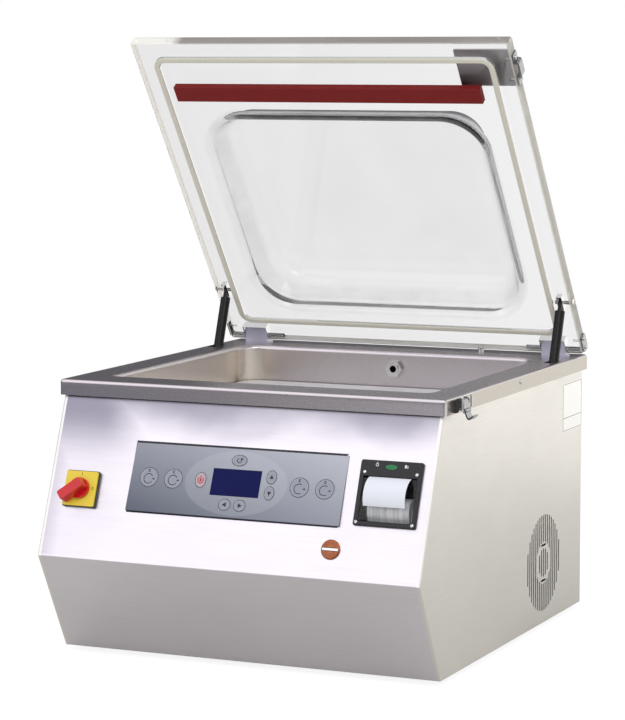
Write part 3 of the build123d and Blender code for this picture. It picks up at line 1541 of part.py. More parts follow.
motor_axis_z = base_top_z + motor_axis_height
pump_middle_y = (pump_front_y + pump_rear_y) / 2
pump_length = pump_rear_y - pump_front_y
pump_top_z = base_top_z + pump_height
valve_y = case_rear_y - valve_inset
valve_bottom_z = valve_top_z - valve_neck - valve_size
with BuildPart() as vacuum_pump:
    with BuildSketch(Plane.XY.offset(base_top_z + pump_foot_height)):
        with Locations((nozzle_x, pump_middle_y)):
            RectangleRounded(2 * pump_half_width, pump_length, pump_foot_radius)
    extrude(amount=pump_height - pump_foot_height)
    fillet(vacuum_pump.faces().sort_by(Axis.Z)[-1].edges(), 6)
    with BuildSketch(Plane.XY.offset(base_top_z)):
        with Locations((nozzle_x, pump_middle_y)):
            foot_span = 2 * (pump_half_width - pump_foot_height)
            foot_length = pump_length - 2 * pump_foot_height
            with GridLocations(foot_span, foot_length, 2, 2):
                Circle(pump_foot_radius)
    extrude(amount=pump_foot_height)
    with BuildSketch(Plane.XY.offset(pump_top_z)):
        with Locations((nozzle_x, valve_y)):
            Circle(pump_port_radius)
    extrude(amount=valve_bottom_z - pump_top_z)
    # cooling ribs across the top
    with BuildSketch(Plane.XY.offset(pump_top_z)):
        with Locations((nozzle_x, pump_middle_y - 20)):
            with GridLocations(0, pump_rib_pitch, 1, pump_ribs):
                Rectangle(2 * (pump_half_width - pump_foot_radius), pump_rib_thickness)
    extrude(amount=pump_rib_height)
save(vacuum_pump, "vacuum_pump")

with BuildPart() as pump_motor:
    motor_plane = Plane(
        origin=(nozzle_x, pump_front_y, motor_axis_z), x_dir=(1, 0, 0), z_dir=(0, -1, 0)
    )
    motor_length = pump_front_y - motor_front_y
    with BuildSketch(motor_plane):
        Circle(motor_radius - motor_fin_height)
        with PolarLocations(motor_radius - motor_fin_height, motor_fins):
            Rectangle(2 * motor_fin_height, motor_fin_thickness)
    extrude(amount=motor_length - motor_cap_length)
    with BuildSketch(motor_plane.offset(motor_length - motor_cap_length)):
        Circle(motor_radius)
    extrude(amount=motor_cap_length)
    fillet(pump_motor.faces().sort_by(Axis.Y)[0].edges(), 6)
    with BuildSketch(motor_plane):
        Circle(motor_radius)
    extrude(amount=motor_flange_length)
    with BuildSketch(Plane.XY.offset(base_top_z)):
        with Locations((nozzle_x, (pump_front_y + motor_front_y) / 2)):
            Rectangle(motor_foot_width, motor_foot_length)
    extrude(amount=motor_axis_height - motor_radius / 2)
save(pump_motor, "pump_motor")

with BuildPart() as solenoid_valve:
    with BuildSketch(Plane.XY.offset(valve_bottom_z)):
        with Locations((nozzle_x, valve_y)):
            RectangleRounded(valve_size, valve_size, 3)
    extrude(amount=valve_size)
    with BuildSketch(Plane.XY.offset(valve_bottom_z + valve_size)):
        with Locations((nozzle_x, valve_y)):
            Circle(nozzle_spigot_radius)
    extrude(amount=valve_neck)
    with BuildSketch(side_plane(nozzle_x + valve_size / 2)):
        with Locations((valve_y, valve_bottom_z + valve_size / 2)):
            Circle(valve_coil_radius)
    extrude(amount=valve_coil_length)
save(solenoid_valve, "solenoid_valve")

# Hose from the chamber's nozzle, bending down onto the valve
hose_wall = 2.5
nozzle_z = rim_top_z - nozzle_drop
hose_start_y = chamber_rear_y + nozzle_thread_length
hose_bend = valve_y - hose_start_y - nozzle_spigot_length
with BuildPart() as vacuum_hose:
    with BuildLine() as hose_route:
        FilletPolyline(
            (nozzle_x, hose_start_y, nozzle_z),
            (nozzle_x, valve_y, nozzle_z),
            (nozzle_x, valve_y, valve_bottom_z + valve_size),
            radius=hose_bend,
        )
    with BuildSketch(Plane(origin=hose_route.line @ 0, z_dir=(0, 1, 0))):
        Circle(nozzle_spigot_radius + hose_wall)
        Circle(nozzle_spigot_radius, mode=Mode.SUBTRACT)
    sweep()
save(vacuum_hose, "vacuum_hose")

# Transformer of the sealing wires: laminated core with a winding
core_middle_z = base_top_z + core_foot_thickness / 2 + core_height / 2
with BuildPart() as transformer:
    core_plane = Plane.XZ.offset(-transformer_y)
    with BuildSketch(core_plane):
        with Locations((transformer_x, core_middle_z)):
            Rectangle(core_width, core_height)
            with Locations((-core_limb, 0), (core_limb, 0)):
                Rectangle(core_window_width, core_window_height, mode=Mode.SUBTRACT)
        with Locations((transformer_x, base_top_z + core_foot_thickness / 2)):
            Rectangle(core_width + 2 * core_foot_overhang, core_foot_thickness)
    extrude(amount=core_depth / 2, both=True)
    coil_height = core_window_height - coil_gap
    coil_half_width = core_limb + core_window_width / 2 - coil_gap
    coil_length = core_depth + 2 * coil_overhang
    with BuildSketch(Plane.XY.offset(core_middle_z - coil_height / 2)):
        with Locations((transformer_x, transformer_y)):
            RectangleRounded(2 * coil_half_width, coil_length, coil_overhang / 2)
            Rectangle(2 * core_limb - core_window_width - coil_gap, core_depth, mode=Mode.SUBTRACT)
    extrude(amount=coil_height)
save(transformer, "transformer")
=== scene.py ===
"""Looks of the vacuum chamber sealer: finishes, marks, small fasteners, studio and camera."""
import json
import math

import bmesh
import bpy
from mathutils import Matrix, Vector


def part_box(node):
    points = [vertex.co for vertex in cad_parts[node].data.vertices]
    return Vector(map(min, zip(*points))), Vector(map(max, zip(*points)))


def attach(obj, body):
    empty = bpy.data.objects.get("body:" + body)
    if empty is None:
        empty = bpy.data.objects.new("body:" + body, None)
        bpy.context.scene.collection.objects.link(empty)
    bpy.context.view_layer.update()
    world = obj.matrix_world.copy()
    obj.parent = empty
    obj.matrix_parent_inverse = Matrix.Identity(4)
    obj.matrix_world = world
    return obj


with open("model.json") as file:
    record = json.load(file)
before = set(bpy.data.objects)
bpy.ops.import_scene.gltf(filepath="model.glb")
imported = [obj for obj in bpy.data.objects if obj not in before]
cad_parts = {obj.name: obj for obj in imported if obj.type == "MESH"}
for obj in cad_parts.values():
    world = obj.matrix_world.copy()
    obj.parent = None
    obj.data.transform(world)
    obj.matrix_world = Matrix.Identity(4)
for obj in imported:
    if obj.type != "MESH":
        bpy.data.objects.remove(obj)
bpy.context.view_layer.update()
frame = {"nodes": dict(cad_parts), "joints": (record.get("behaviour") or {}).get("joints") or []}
nodes = frame["nodes"]
MM = 0.001

# ------------------------------------------------------------------ places, from the frame


def box_middle(node):
    low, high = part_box(node)
    return (Vector(low) + Vector(high)) / 2


def joint_place(name):
    places = [joint["pos_m"] for joint in frame["joints"] if joint["name"] == name]
    return Vector(places[0])


MIDDLE_X = box_middle("front_panel").x
ACROSS = Vector((1, 0, 0))

# Upper front sheet: it leans back from the knee
KNEE_HEIGHT = 141.5 * MM
KNEE = Vector((MIDDLE_X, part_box("front_panel")[0][1], KNEE_HEIGHT))
LEAN = math.radians(21.32)
SHEET_UP = Vector((0, math.sin(LEAN), math.cos(LEAN)))
SHEET_OUT = Vector((0, -math.cos(LEAN), math.sin(LEAN)))

# Lid, standing open at rest: reach runs from its hinge axis to its front edge
LID_OPEN = math.radians(54)
HINGE = joint_place("lid_hinge")
LID_REACH = Vector((0, -math.cos(LID_OPEN), math.sin(LID_OPEN)))
LID_HALF_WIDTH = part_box("lid")[1][0] - MIDDLE_X
LID_FRONT_REACH = 541.5 * MM
LID_REAR_REACH = -4.2 * MM
SIDE_EDGE_DEPTH = 1.7 * MM  # sawn edges of the lid, in from its outline
FRONT_EDGE_DEPTH = 1.2 * MM

# Outline of the lid's dome, in millimetres
DOME_HALF_WIDTH = 207.0
DOME_HALF_LENGTH = 173.0
DOME_MIDDLE_REACH = 236.0
DOME_CORNER = 58.0

RIM_SIDE_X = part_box("vacuum_chamber")[1][0]
RIM_HALF_WIDTH = RIM_SIDE_X - MIDDLE_X
RIM_SIDE_DEPTH = 0.4 * MM
SIDE_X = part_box("right_side_panel")[1][0]

# ------------------------------------------------------------------ material helpers


class Nodes:
    """Short way to add and link the nodes of one material or world."""

    def __init__(self, tree):
        self.tree = tree
        tree.nodes.clear()

    def add(self, kind, inputs=None, **settings):
        node = self.tree.nodes.new("ShaderNode" + kind)
        for name, value in settings.items():
            setattr(node, name, value)
        for name, value in (inputs or {}).items():
            self.feed(node, name, value)
        return node

    def feed(self, node, name, value):
        socket = node.inputs[name]
        if isinstance(value, bpy.types.NodeSocket):
            self.tree.links.new(value, socket)
        else:
            socket.default_value = value

    def place(self):
        return self.add("TexCoord").outputs["Object"]

    def object_coords(self, scale=(1, 1, 1)):
        return self.add("Mapping", {"Vector": self.place(), "Scale": scale}).outputs[0]

    def noise(self, vector, scale, detail=3.0, roughness=0.5):
        inputs = {"Vector": vector, "Scale": scale, "Detail": detail, "Roughness": roughness}
        return self.add("TexNoise", inputs).outputs["Fac"]

    def along(self, direction, origin=(0, 0, 0)):
        """Distance of a surface point along a direction, from an origin, in metres."""
        offset = self.add("VectorMath", {0: self.place(), 1: origin}, operation="SUBTRACT")
        dot = self.add("VectorMath", {0: offset.outputs[0], 1: direction}, operation="DOT_PRODUCT")
        return dot.outputs["Value"]

    def ramp(self, factor, low, high, from_low=0.0, from_high=1.0, smooth=False):
        inputs = {
            "Value": factor,
            "From Min": from_low,
            "From Max": from_high,
            "To Min": low,
            "To Max": high,
        }
        kind = "SMOOTHSTEP" if smooth else "LINEAR"
        return self.add("MapRange", inputs, interpolation_type=kind).outputs[0]

    def blend(self, factor, first, second):
        node = self.add("Mix", data_type="RGBA")
        self.feed(node, 0, factor)
        self.feed(node, 6, first)
        self.feed(node, 7, second)
        return node.outputs[2]

    def math(self, operation, first, second=0.0):
        node = self.add("Math", operation=operation)
        self.feed(node, 0, first)
        self.feed(node, 1, second)
        return node.outputs[0]

    def bump(self, height, strength, distance):
        inputs = {"Height": height, "Strength": strength, "Distance": distance}
        return self.add("Bump", inputs).outputs[0]

    def surface(self, shader):
        self.add("OutputMaterial", {"Surface": shader})


def rgb(red, green, blue):
    """Linear colour from 0..255 display values."""
    values = []
    for value in (red, green, blue):
        share = value / 255
        values.append(share / 12.92 if share <= 0.04045 else ((share + 0.055) / 1.055) ** 2.4)
    return (*values, 1.0)


def darker(colour, share):
    return tuple(c * (1 - share) for c in colour[:3]) + (1.0,)


def new_material(name):
    material = bpy.data.materials.new(name)
    material.use_nodes = True
    return material, Nodes(material.node_tree)


def principled(tree, colour, roughness, normal=None, metallic=0.0, **constants):
    """Principled shader; constants are set on its own sockets, by name with _ for a space."""
    inputs = {"Base Color": colour, "Roughness": roughness, "Metallic": metallic}
    if normal is not None:
        inputs["Normal"] = normal
    for name, value in constants.items():
        inputs[name.replace("_", " ")] = value
    return tree.add("BsdfPrincipled", inputs).outputs[0]


def brushed_steel(name, colour, roughness, grain, cloud=0.08, shade=None):
    """Steel with fine brush lines along one axis, faint clouds and an optional wide painted shade.
    """
    material, tree = new_material(name)
    lines = tree.noise(tree.object_coords(grain), 1.0, 3.0, 0.65)
    clouds = tree.noise(tree.object_coords((5, 5, 7)), 1.0, 3.0)
    tint = tree.blend(tree.ramp(clouds, 0, 1, 0.3, 0.7), darker(colour, cloud), colour)
    if shade is not None:
        # Painted shade, where one is given
        factor, shade_colour = shade(tree, clouds)
        tint = tree.blend(factor, tint, shade_colour)
    tint = tree.blend(tree.ramp(lines, 0.0, 0.06, 0.35, 0.65), tint, darker(colour, 0.5))
    rough = tree.ramp(lines, roughness - 0.05, roughness + 0.06, 0.3, 0.7)
    normal = tree.bump(lines, 0.2, 0.00002)
    tree.surface(principled(tree, tint, rough, normal, 1.0))
    return material


def satin_steel(name, colour, roughness, cloud=0.1, painted_zones=None):
    """Pressed steel with an even, fine-grained satin finish, and the painted light and shade of its
    zones.
    """
    material, tree = new_material(name)
    grain = tree.noise(tree.object_coords(), 1400.0, 2.0)
    clouds = tree.noise(tree.object_coords((6, 6, 6)), 1.0, 3.0)
    tint = tree.blend(clouds, darker(colour, cloud), colour)
    for factor, zone_colour in painted_zones(tree) if painted_zones else ():
        tint = tree.blend(factor, tint, zone_colour)
    tint = tree.blend(tree.ramp(grain, 0.0, 0.08, 0.35, 0.65), tint, darker(colour, 0.6))
    rough = tree.ramp(grain, roughness - 0.03, roughness + 0.03, 0.3, 0.7)
    tree.surface(principled(tree, tint, rough, tree.bump(grain, 0.05, 0.0001), 1.0))
    return material


def rim_painted_light(tree):
    """Painted light and shade: painted warm light and reflection on the chamber's left wall,
    painted shade on the rim's sides, and on the front painted light to the right and painted shade
    to the left.
    """
    rim_edge = (0.358, 0.3655)  # bounds of the shades, in metres
    mouth_side = (0.24, 0.246)
    left_wall = (-0.228, -0.17)
    mouth_front = (-0.215, -0.2)
    across = tree.along(ACROSS, KNEE)
    from_middle = tree.math("ABSOLUTE", across)
    below_top = tree.ramp(tree.along((0, 0, 1)), 1.0, 0.0, *rim_edge, True)
    between_sides = tree.ramp(from_middle, 1.0, 0.0, *mouth_side)
    left = tree.ramp(across, 0.9, 0.04, *left_wall, True)
    behind_front = tree.ramp(tree.along((0, 1, 0)), 0.0, 1.0, *mouth_front)
    inside = tree.math("MULTIPLY", tree.math("MULTIPLY", below_top, between_sides), behind_front)
    side = tree.math("GREATER_THAN", from_middle, RIM_HALF_WIDTH - RIM_SIDE_DEPTH)
    front = tree.math("MULTIPLY", below_top, tree.math("SUBTRACT", 1.0, behind_front))
    to_right = tree.ramp(across, 0.0, 1.0, -0.05, 0.27)
    to_left = tree.ramp(across, 1.0, 0.0, -0.27, 0.0)
    # Painted reflection on the left wall, painted light and painted shade on the front, painted
    # shade on the sides
    return (
        (tree.math("MULTIPLY", inside, left), rgb(255, 246, 230)),
        (tree.math("MULTIPLY", front, to_right), rgb(255, 250, 255)),
        (tree.math("MULTIPLY", front, to_left), rgb(192, 189, 202)),
        (side, rgb(190, 184, 176)),
    )


def polished_metal(name, colour, roughness=0.12):
    """Plated or turned metal with faint wear in its gloss."""
    material, tree = new_material(name)
    wear = tree.noise(tree.object_coords(), 160.0, 3.0)
    tint = tree.blend(tree.ramp(wear, 0, 1, 0.35, 0.65), darker(colour, 0.12), colour)
    rough = tree.ramp(wear, roughness * 0.7, roughness * 1.5, 0.3, 0.7)
    tree.surface(principled(tree, tint, rough, None, 1.0))
    return material


def plastic(name, colour, roughness=0.4, grain=700.0, relief=0.1, variation=0.06, gloss=0.5):
    """Moulded plastic or paint with a fine grain."""
    material, tree = new_material(name)
    spots = tree.noise(tree.object_coords(), grain, 2.0)
    clouds = tree.noise(tree.object_coords(), 30.0, 2.0)
    tint = tree.blend(clouds, darker(colour, variation), colour)
    rough = tree.ramp(spots, roughness - 0.06, roughness + 0.06, 0.3, 0.7)
    normal = tree.bump(spots, relief, 0.0001)
    tree.surface(principled(tree, tint, rough, normal, Specular_IOR_Level=gloss))
    return material


def clear_sheet(name, tint, index):
    """Thin clear moulding with a faint ripple."""
    material, tree = new_material(name)
    ripple = tree.noise(tree.object_coords(), 60.0, 1.0)
    normal = tree.bump(ripple, 0.05, 0.001)
    tree.surface(principled(tree, tint, 0.0, normal, Transmission_Weight=1.0, IOR=index))
    return material


def dome_outline(tree, across, reach):
    """Distance from the outline of the lid's dome, in millimetres, negative inside it."""
    squares = []
    spans = ((across, 0.0, DOME_HALF_WIDTH), (reach, DOME_MIDDLE_REACH, DOME_HALF_LENGTH))
    for value, middle, half in spans:
        offset = tree.math("SUBTRACT", tree.math("MULTIPLY", value, 1000.0), middle)
        beyond = tree.math("SUBTRACT", tree.math("ABSOLUTE", offset), half - DOME_CORNER)
        squares.append(tree.math("POWER", tree.math("MAXIMUM", beyond, 0.0), 2.0))
    corner = tree.math("SQRT", tree.math("ADD", *squares))
    return tree.math("SUBTRACT", corner, DOME_CORNER)


def lid_acrylic():
    """Cast acrylic: clear, tinted darker to the left and in clouds within its blown dome with drawn
    marks, pale sawn edges, and along the front edge painted shade with a painted reflection of the
    red counter bar.

    The side edges let some light through, so that they glow.
    """
    material, tree = new_material("lid_acrylic")
    across = tree.along(ACROSS, HINGE)
    reach = tree.along(LID_REACH, HINGE)
    outline = dome_outline(tree, across, reach)
    in_dome = tree.ramp(outline, 1.0, 0.0, -14.0, 2.0, True)
    side = tree.ramp(across, 0.0, 1.0, -LID_HALF_WIDTH, LID_HALF_WIDTH * 0.7)
    tint = tree.blend(side, (0.822, 0.819, 0.826, 1.0), (0.886, 0.887, 0.888, 1.0))
    clouds = tree.noise(tree.object_coords((9, 7, 7)), 1.0, 2.0)
    # Darker in clouds within the dome
    darker_in_dome = tree.math("MULTIPLY", in_dome, tree.ramp(clouds, 0.35, 1.0, 0.3, 0.7))
    tint = tree.blend(darker_in_dome, tint, (0.79, 0.79, 0.798, 1.0))
    ripple = tree.noise(tree.object_coords(), 9.0, 1.0)
    drawn = tree.noise(tree.object_coords((26, 26, 26)), 1.0, 2.0, 0.4)
    wave = tree.math("MULTIPLY", tree.math("MULTIPLY", drawn, in_dome), 2.5)
    normal = tree.bump(tree.math("ADD", ripple, wave), 0.03, 0.001)
    clear = principled(tree, tint, 0.0, normal, Transmission_Weight=1.0, IOR=1.36)
    milky = principled(tree, (0.84, 0.845, 0.86, 1.0), 0.3, None, Specular_IOR_Level=0.5)
    foot = tree.ramp(tree.math("ABSOLUTE", outline), 1.0, 0.0, 5, 12, True)
    haze = tree.math("MULTIPLY", foot, tree.ramp(drawn, 0.12, 0.2, 0.38, 0.62))
    domed = tree.add("MixShader", {0: haze, 1: clear, 2: milky})
    from_middle = tree.math("ABSOLUTE", across)
    side_edge = tree.math("GREATER_THAN", from_middle, LID_HALF_WIDTH - SIDE_EDGE_DEPTH)
    front_edge = tree.math("GREATER_THAN", reach, LID_FRONT_REACH - FRONT_EDGE_DEPTH)
    rear_edge = tree.math("LESS_THAN", reach, LID_REAR_REACH)
    edge = tree.math("MAXIMUM", side_edge, tree.math("MAXIMUM", front_edge, rear_edge))
    streaks = tree.noise(tree.object_coords((8, 60, 60)), 1.0, 3.0, 0.6)
    pale = tree.blend(
        tree.ramp(streaks, 0, 1, 0.35, 0.6), (0.82, 0.80, 0.72, 1.0), (1.0, 0.985, 0.92, 1.0)
    )
    # Painted shade and a painted reflection of the red counter bar: dark brownish red along the
    # front edge, right of its left end
    painted_shade_and_reflection = tree.math("MULTIPLY", front_edge, tree.ramp(across, 0.0, 0.75, -0.215, -0.2))
    pale = tree.blend(painted_shade_and_reflection, pale, (0.16, 0.12, 0.12, 1.0))
    frosted = principled(tree, pale, 0.25, None, Specular_IOR_Level=0.5)
    glowing = tree.add("BsdfTranslucent", {"Color": (0.97, 0.95, 0.85, 1.0)}).outputs[0]
    lets_through = tree.math("MULTIPLY", side_edge, 0.65)
    edges = tree.add("MixShader", {0: lets_through, 1: frosted, 2: glowing}).outputs[0]
    edge_share = tree.math("MULTIPLY", edge, 0.8)
    mixed = tree.add("MixShader", {0: edge_share, 1: domed.outputs[0], 2: edges})
    tree.surface(mixed.outputs[0])
    return material


def show(node, material):
    """Give a CAD node its finish."""
    node_object = nodes[node]
    node_object.data.materials.clear()
    node_object.data.materials.append(material)


# ------------------------------------------------------------------ finishes of the CAD pieces


def upper_front_shade(tree, clouds):
    """Painted shade: greyer under the rim and towards the left end, brightest round the keypad."""
    under_rim = (0.172, 0.224)  # bounds of the shades from the knee and the middle, in metres
    left_part = (-0.225, -0.12)
    upper_part = (0.12, 0.205)
    left_end = (-0.272, -0.232)
    knee_fold = (0.0, 0.004)
    height = tree.along(SHEET_UP, KNEE)
    across = tree.along(ACROSS, KNEE)
    wander = tree.ramp(clouds, -0.02, 0.02, 0.3, 0.7)
    top = tree.ramp(tree.math("ADD", height, wander), 0.0, 0.9, *under_rim, True)
    left = tree.ramp(tree.math("ADD", across, wander), 1.0, 0.0, *left_part, True)
    high = tree.ramp(height, 0.1, 1.0, *upper_part, True)
    corner = tree.math("MULTIPLY", left, high)
    end = tree.ramp(across, 0.42, 0.0, *left_end, True)
    factor = tree.math("MAXIMUM", tree.math("MAXIMUM", corner, end), top)
    above_knee = tree.ramp(height, 0.0, 1.0, *knee_fold)
    return tree.math("MULTIPLY", factor, above_knee), rgb(150, 147, 161)


# The upper front sheet carries painted shade under the rim and at its left end.
front_steel = brushed_steel(
    "front_steel", rgb(238, 235, 240), 0.36, (14, 900, 900), 0.05, upper_front_shade
)
case_steel = brushed_steel("case_steel", rgb(243, 241, 237), 0.42, (900, 16, 900), 0.07)
# The rim's finish carries painted light and shade.
rim_steel = satin_steel("rim_steel", rgb(216, 210, 213), 0.28, 0.1, rim_painted_light)
bright_steel = polished_metal("bright_steel", rgb(226, 224, 222), 0.14)
chrome = polished_metal("chrome", rgb(232, 232, 232), 0.07)
# Darker copy of the chrome: painted shade on the catch, the latch's base and lever and the hinge
# pins.
shaded_chrome = polished_metal("shaded_chrome", rgb(168, 170, 174), 0.12)
spring_black = plastic("spring_black", rgb(6, 6, 7), 0.24, 900.0, 0.02, 0.1, 0.28)
spring_rod = polished_metal("spring_rod", rgb(215, 215, 215), 0.1)
hinge_alloy = satin_steel("hinge_alloy", rgb(206, 206, 222), 0.4)
acrylic = lid_acrylic()
gasket_rubber = plastic("gasket_rubber", rgb(222, 219, 205), 0.5, 400.0, 0.1)
red_silicone = plastic("red_silicone", rgb(128, 24, 22), 0.6, 500.0, 0.2, 0.15, 0.3)
plate_steel = brushed_steel("plate_steel", rgb(240, 237, 240), 0.5, (10, 700, 700), 0.3)
white_plastic = plastic("white_plastic", rgb(226, 225, 226), 0.45, 300.0)
black_plastic = plastic("black_plastic", rgb(40, 37, 44), 0.35)
bezel_plastic = plastic("bezel_plastic", rgb(20, 18, 24), 0.4, 900.0, 0.06)
black_rubber = plastic("black_rubber", rgb(24, 24, 24), 0.7, 350.0, 0.3)
stop_foil = plastic("stop_foil", rgb(186, 166, 174), 0.3, 900.0, 0.04, 0.04)
key_foil = plastic("key_foil", rgb(150, 155, 168), 0.3, 900.0, 0.04, 0.06)
display_glass = plastic("display_glass", rgb(4, 14, 80), 0.1, 200.0, 0.0, 0.25, 0.12)
yellow_plastic = plastic("yellow_plastic", rgb(240, 216, 68), 0.35)
red_plastic = plastic("red_plastic", rgb(208, 20, 28), 0.2, 300.0, 0.02, 0.04, 0.6)
green_plastic = plastic("green_plastic", rgb(20, 118, 66), 0.12, 300.0, 0.02)
paper_white = plastic("paper_white", rgb(234, 237, 246), 0.8, 500.0, 0.1, 0.02)
copper = polished_metal("copper", rgb(176, 106, 70), 0.26)
door_clear = clear_sheet("door_clear", (0.99, 0.99, 0.985, 1.0), 1.3)
cast_alloy = satin_steel("cast_alloy", rgb(150, 152, 155), 0.5)
seal_tape = plastic("seal_tape", rgb(120, 92, 66), 0.45)
circuit_green = plastic("circuit_green", rgb(20, 96, 50), 0.4)
mark_ink = plastic("mark_ink", rgb(32, 33, 40), 0.5, 900.0, 0.02)
white_ink = plastic("white_ink", rgb(228, 228, 230), 0.5, 900.0, 0.02)
red_ink = plastic("red_ink", rgb(190, 34, 44), 0.5, 900.0, 0.02)
label_foil = satin_steel("label_foil", rgb(255, 255, 254), 0.45, 0.02)


OVAL_HALF_WIDTH = 73 * MM
OVAL_HALF_HEIGHT = 43 * MM


def keypad_foil():
    """Blue-grey foil, darker towards its left end, with a paler oval round the display."""
    material, tree = new_material("keypad_foil")
    centre = box_middle("display")
    across = tree.along(ACROSS, centre)
    height = tree.along(SHEET_UP, centre)
    pad_width = (-0.16, 0.16)
    pad_height = (-0.045, 0.05)
    grain = tree.noise(tree.object_coords(), 900.0, 2.0)
    fade = tree.ramp(across, 0.0, 1.0, *pad_width)
    rise = tree.ramp(height, 0.0, 1.0, *pad_height)
    mix = tree.math("MULTIPLY", tree.math("ADD", fade, rise), 0.5)
    ground = tree.blend(mix, rgb(80, 87, 104), rgb(187, 190, 201))
    wide = tree.math("POWER", tree.math("DIVIDE", across, OVAL_HALF_WIDTH), 2.0)
    tall = tree.math("POWER", tree.math("DIVIDE", height, OVAL_HALF_HEIGHT), 2.0)
    oval = tree.ramp(tree.math("ADD", wide, tall), 1.0, 0.0, 0.97, 1.03)
    tint = tree.blend(tree.math("MULTIPLY", oval, 0.14), ground, rgb(214, 219, 226))
    rough = tree.ramp(grain, 0.26, 0.38, 0.3, 0.7)
    tree.surface(principled(tree, tint, rough, tree.bump(grain, 0.04, 0.0001)))
    return material


def roll_paper():
    """White paper wound on a roll, with faint bright bands across it."""
    material, tree = new_material("roll_paper")
    across = tree.along(ACROSS, box_middle("paper_roll"))
    bands = tree.noise(tree.object_coords((420, 6, 6)), 1.0, 1.0)
    tint = tree.blend(tree.ramp(bands, 0, 1, 0.4, 0.6), rgb(222, 224, 232), rgb(255, 255, 255))
    roll_end = (0.026, 0.029)
    end = tree.ramp(tree.math("ABSOLUTE", across), 0.0, 0.25, *roll_end)
    tint = tree.blend(end, tint, rgb(190, 192, 200))
    tree.surface(principled(tree, tint, 0.6, tree.bump(bands, 0.1, 0.0002)))
    return material


finishes = {
    front_steel: "front_panel",
    case_steel: "base_plate left_side_panel right_side_panel rear_panel strut_brackets",
    rim_steel: "vacuum_chamber",
    bright_steel: "chamber_nozzle strut_studs seal_bar_rods seal_wires"
    " lid_switch_plunger solenoid_valve",
    chrome: "latch_bail",
    shaded_chrome: "lid_catch latch_base latch_lever hinge_pins",
    spring_black: "strut_cylinders",
    spring_rod: "strut_rods",
    hinge_alloy: "hinge_blocks seal_bar seal_bar_cylinders",
    acrylic: "lid",
    gasket_rubber: "lid_gasket",
    red_silicone: "counter_bar",
    plate_steel: "lid_corner_plate",
    white_plastic: "filler_plates",
    black_plastic: "power_inlet switch_base fan_housing fan_rotor lid_switch",
    bezel_plastic: "printer_bezel",
    black_rubber: "rubber_feet vacuum_hose",
    keypad_foil(): "keypad_housing",
    key_foil: "key_round_1 key_round_2 key_round_3 key_round_4 key_set key_up key_down"
    " key_left key_right",
    stop_foil: "key_stop",
    display_glass: "display",
    yellow_plastic: "switch_plate",
    red_plastic: "switch_knob",
    green_plastic: "printer_button",
    paper_white: "paper_tongue",
    roll_paper(): "paper_roll",
    copper: "badge",
    door_clear: "printer_door",
    cast_alloy: "vacuum_pump pump_motor transformer",
    seal_tape: "seal_cover",
    circuit_green: "control_board",
}
for material, names in finishes.items():
    for name in names.split():
        show(name, material)

# ------------------------------------------------------------------ added pieces


def add_piece(name, mesh, material, body):
    """Link a finished mesh as a piece that rides on a body."""
    mesh.materials.append(material)
    piece = bpy.data.objects.new(name, mesh)
    bpy.context.collection.objects.link(piece)
    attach(piece, body)
    return piece


def ring_radius(radius, corners, turn):
    """Radius of a circle, or of a polygon whose flats are at that radius."""
    if not corners:
        return radius
    step = 2 * math.pi / corners
    return radius / math.cos((turn + step / 2) % step - step / 2)


SHARP_FOLD = math.radians(35)


def turned_mesh(name, rings, place, axis, segments=36):
    """Solid of rings of (radius, height, corners) about an axis, in millimetres."""
    mesh = bpy.data.meshes.new(name)
    shape = bmesh.new()
    turn_to = Vector(axis).to_track_quat("Z", "Y").to_matrix()
    loops = []
    for radius, height, corners in rings:
        loop = []
        for step in range(segments):
            turn = 2 * math.pi * step / segments
            reach = ring_radius(radius, corners, turn)
            point = Vector((reach * math.cos(turn), reach * math.sin(turn), height))
            loop.append(shape.verts.new(Vector(place) + turn_to @ point * MM))
        loops.append(loop)
    for lower, upper in zip(loops, loops[1:]):
        for step in range(segments):
            after = (step + 1) % segments
            shape.faces.new((lower[step], lower[after], upper[after], upper[step]))
    shape.faces.new(list(reversed(loops[0])))
    shape.faces.new(loops[-1])
    for face in shape.faces:
        face.smooth = len(face.verts) == 4
    shape.normal_update()
    for edge in shape.edges:
        edge.smooth = edge.calc_face_angle(0) < SHARP_FOLD
    shape.to_mesh(mesh)
    shape.free()
    return mesh


# Radii of the screws' heads, in millimetres
BEZEL_SCREW = 2.4
CATCH_SCREW = 3.3
END_PLATE_SCREW = 3.4
RIM_SCREW = 3.0


def dome_screw(name, place, axis, radius, body, shaft=None):
    """Button-head screw with a hexagon socket, standing on a surface, and its shaft if it shows."""
    rise = radius * 0.55
    rings = []
    if shaft:
        shaft_radius, length = shaft
        rings = [(shaft_radius * 0.7, -length, 0), (shaft_radius, 0.6 - length, 0)]
        rings.append((shaft_radius, -0.01, 0))
    rings += [
        (radius, 0.0, 0),
        (radius, rise * 0.25, 0),
        (radius * 0.92, rise * 0.62, 0),
        (radius * 0.72, rise * 0.9, 0),
        (radius * 0.52, rise, 0),
        (radius * 0.4, rise, 6),
        (radius * 0.4, rise * 0.25, 6),
    ]
    mesh = turned_mesh(name, rings, place, axis)
    return add_piece(name, mesh, chrome, body)


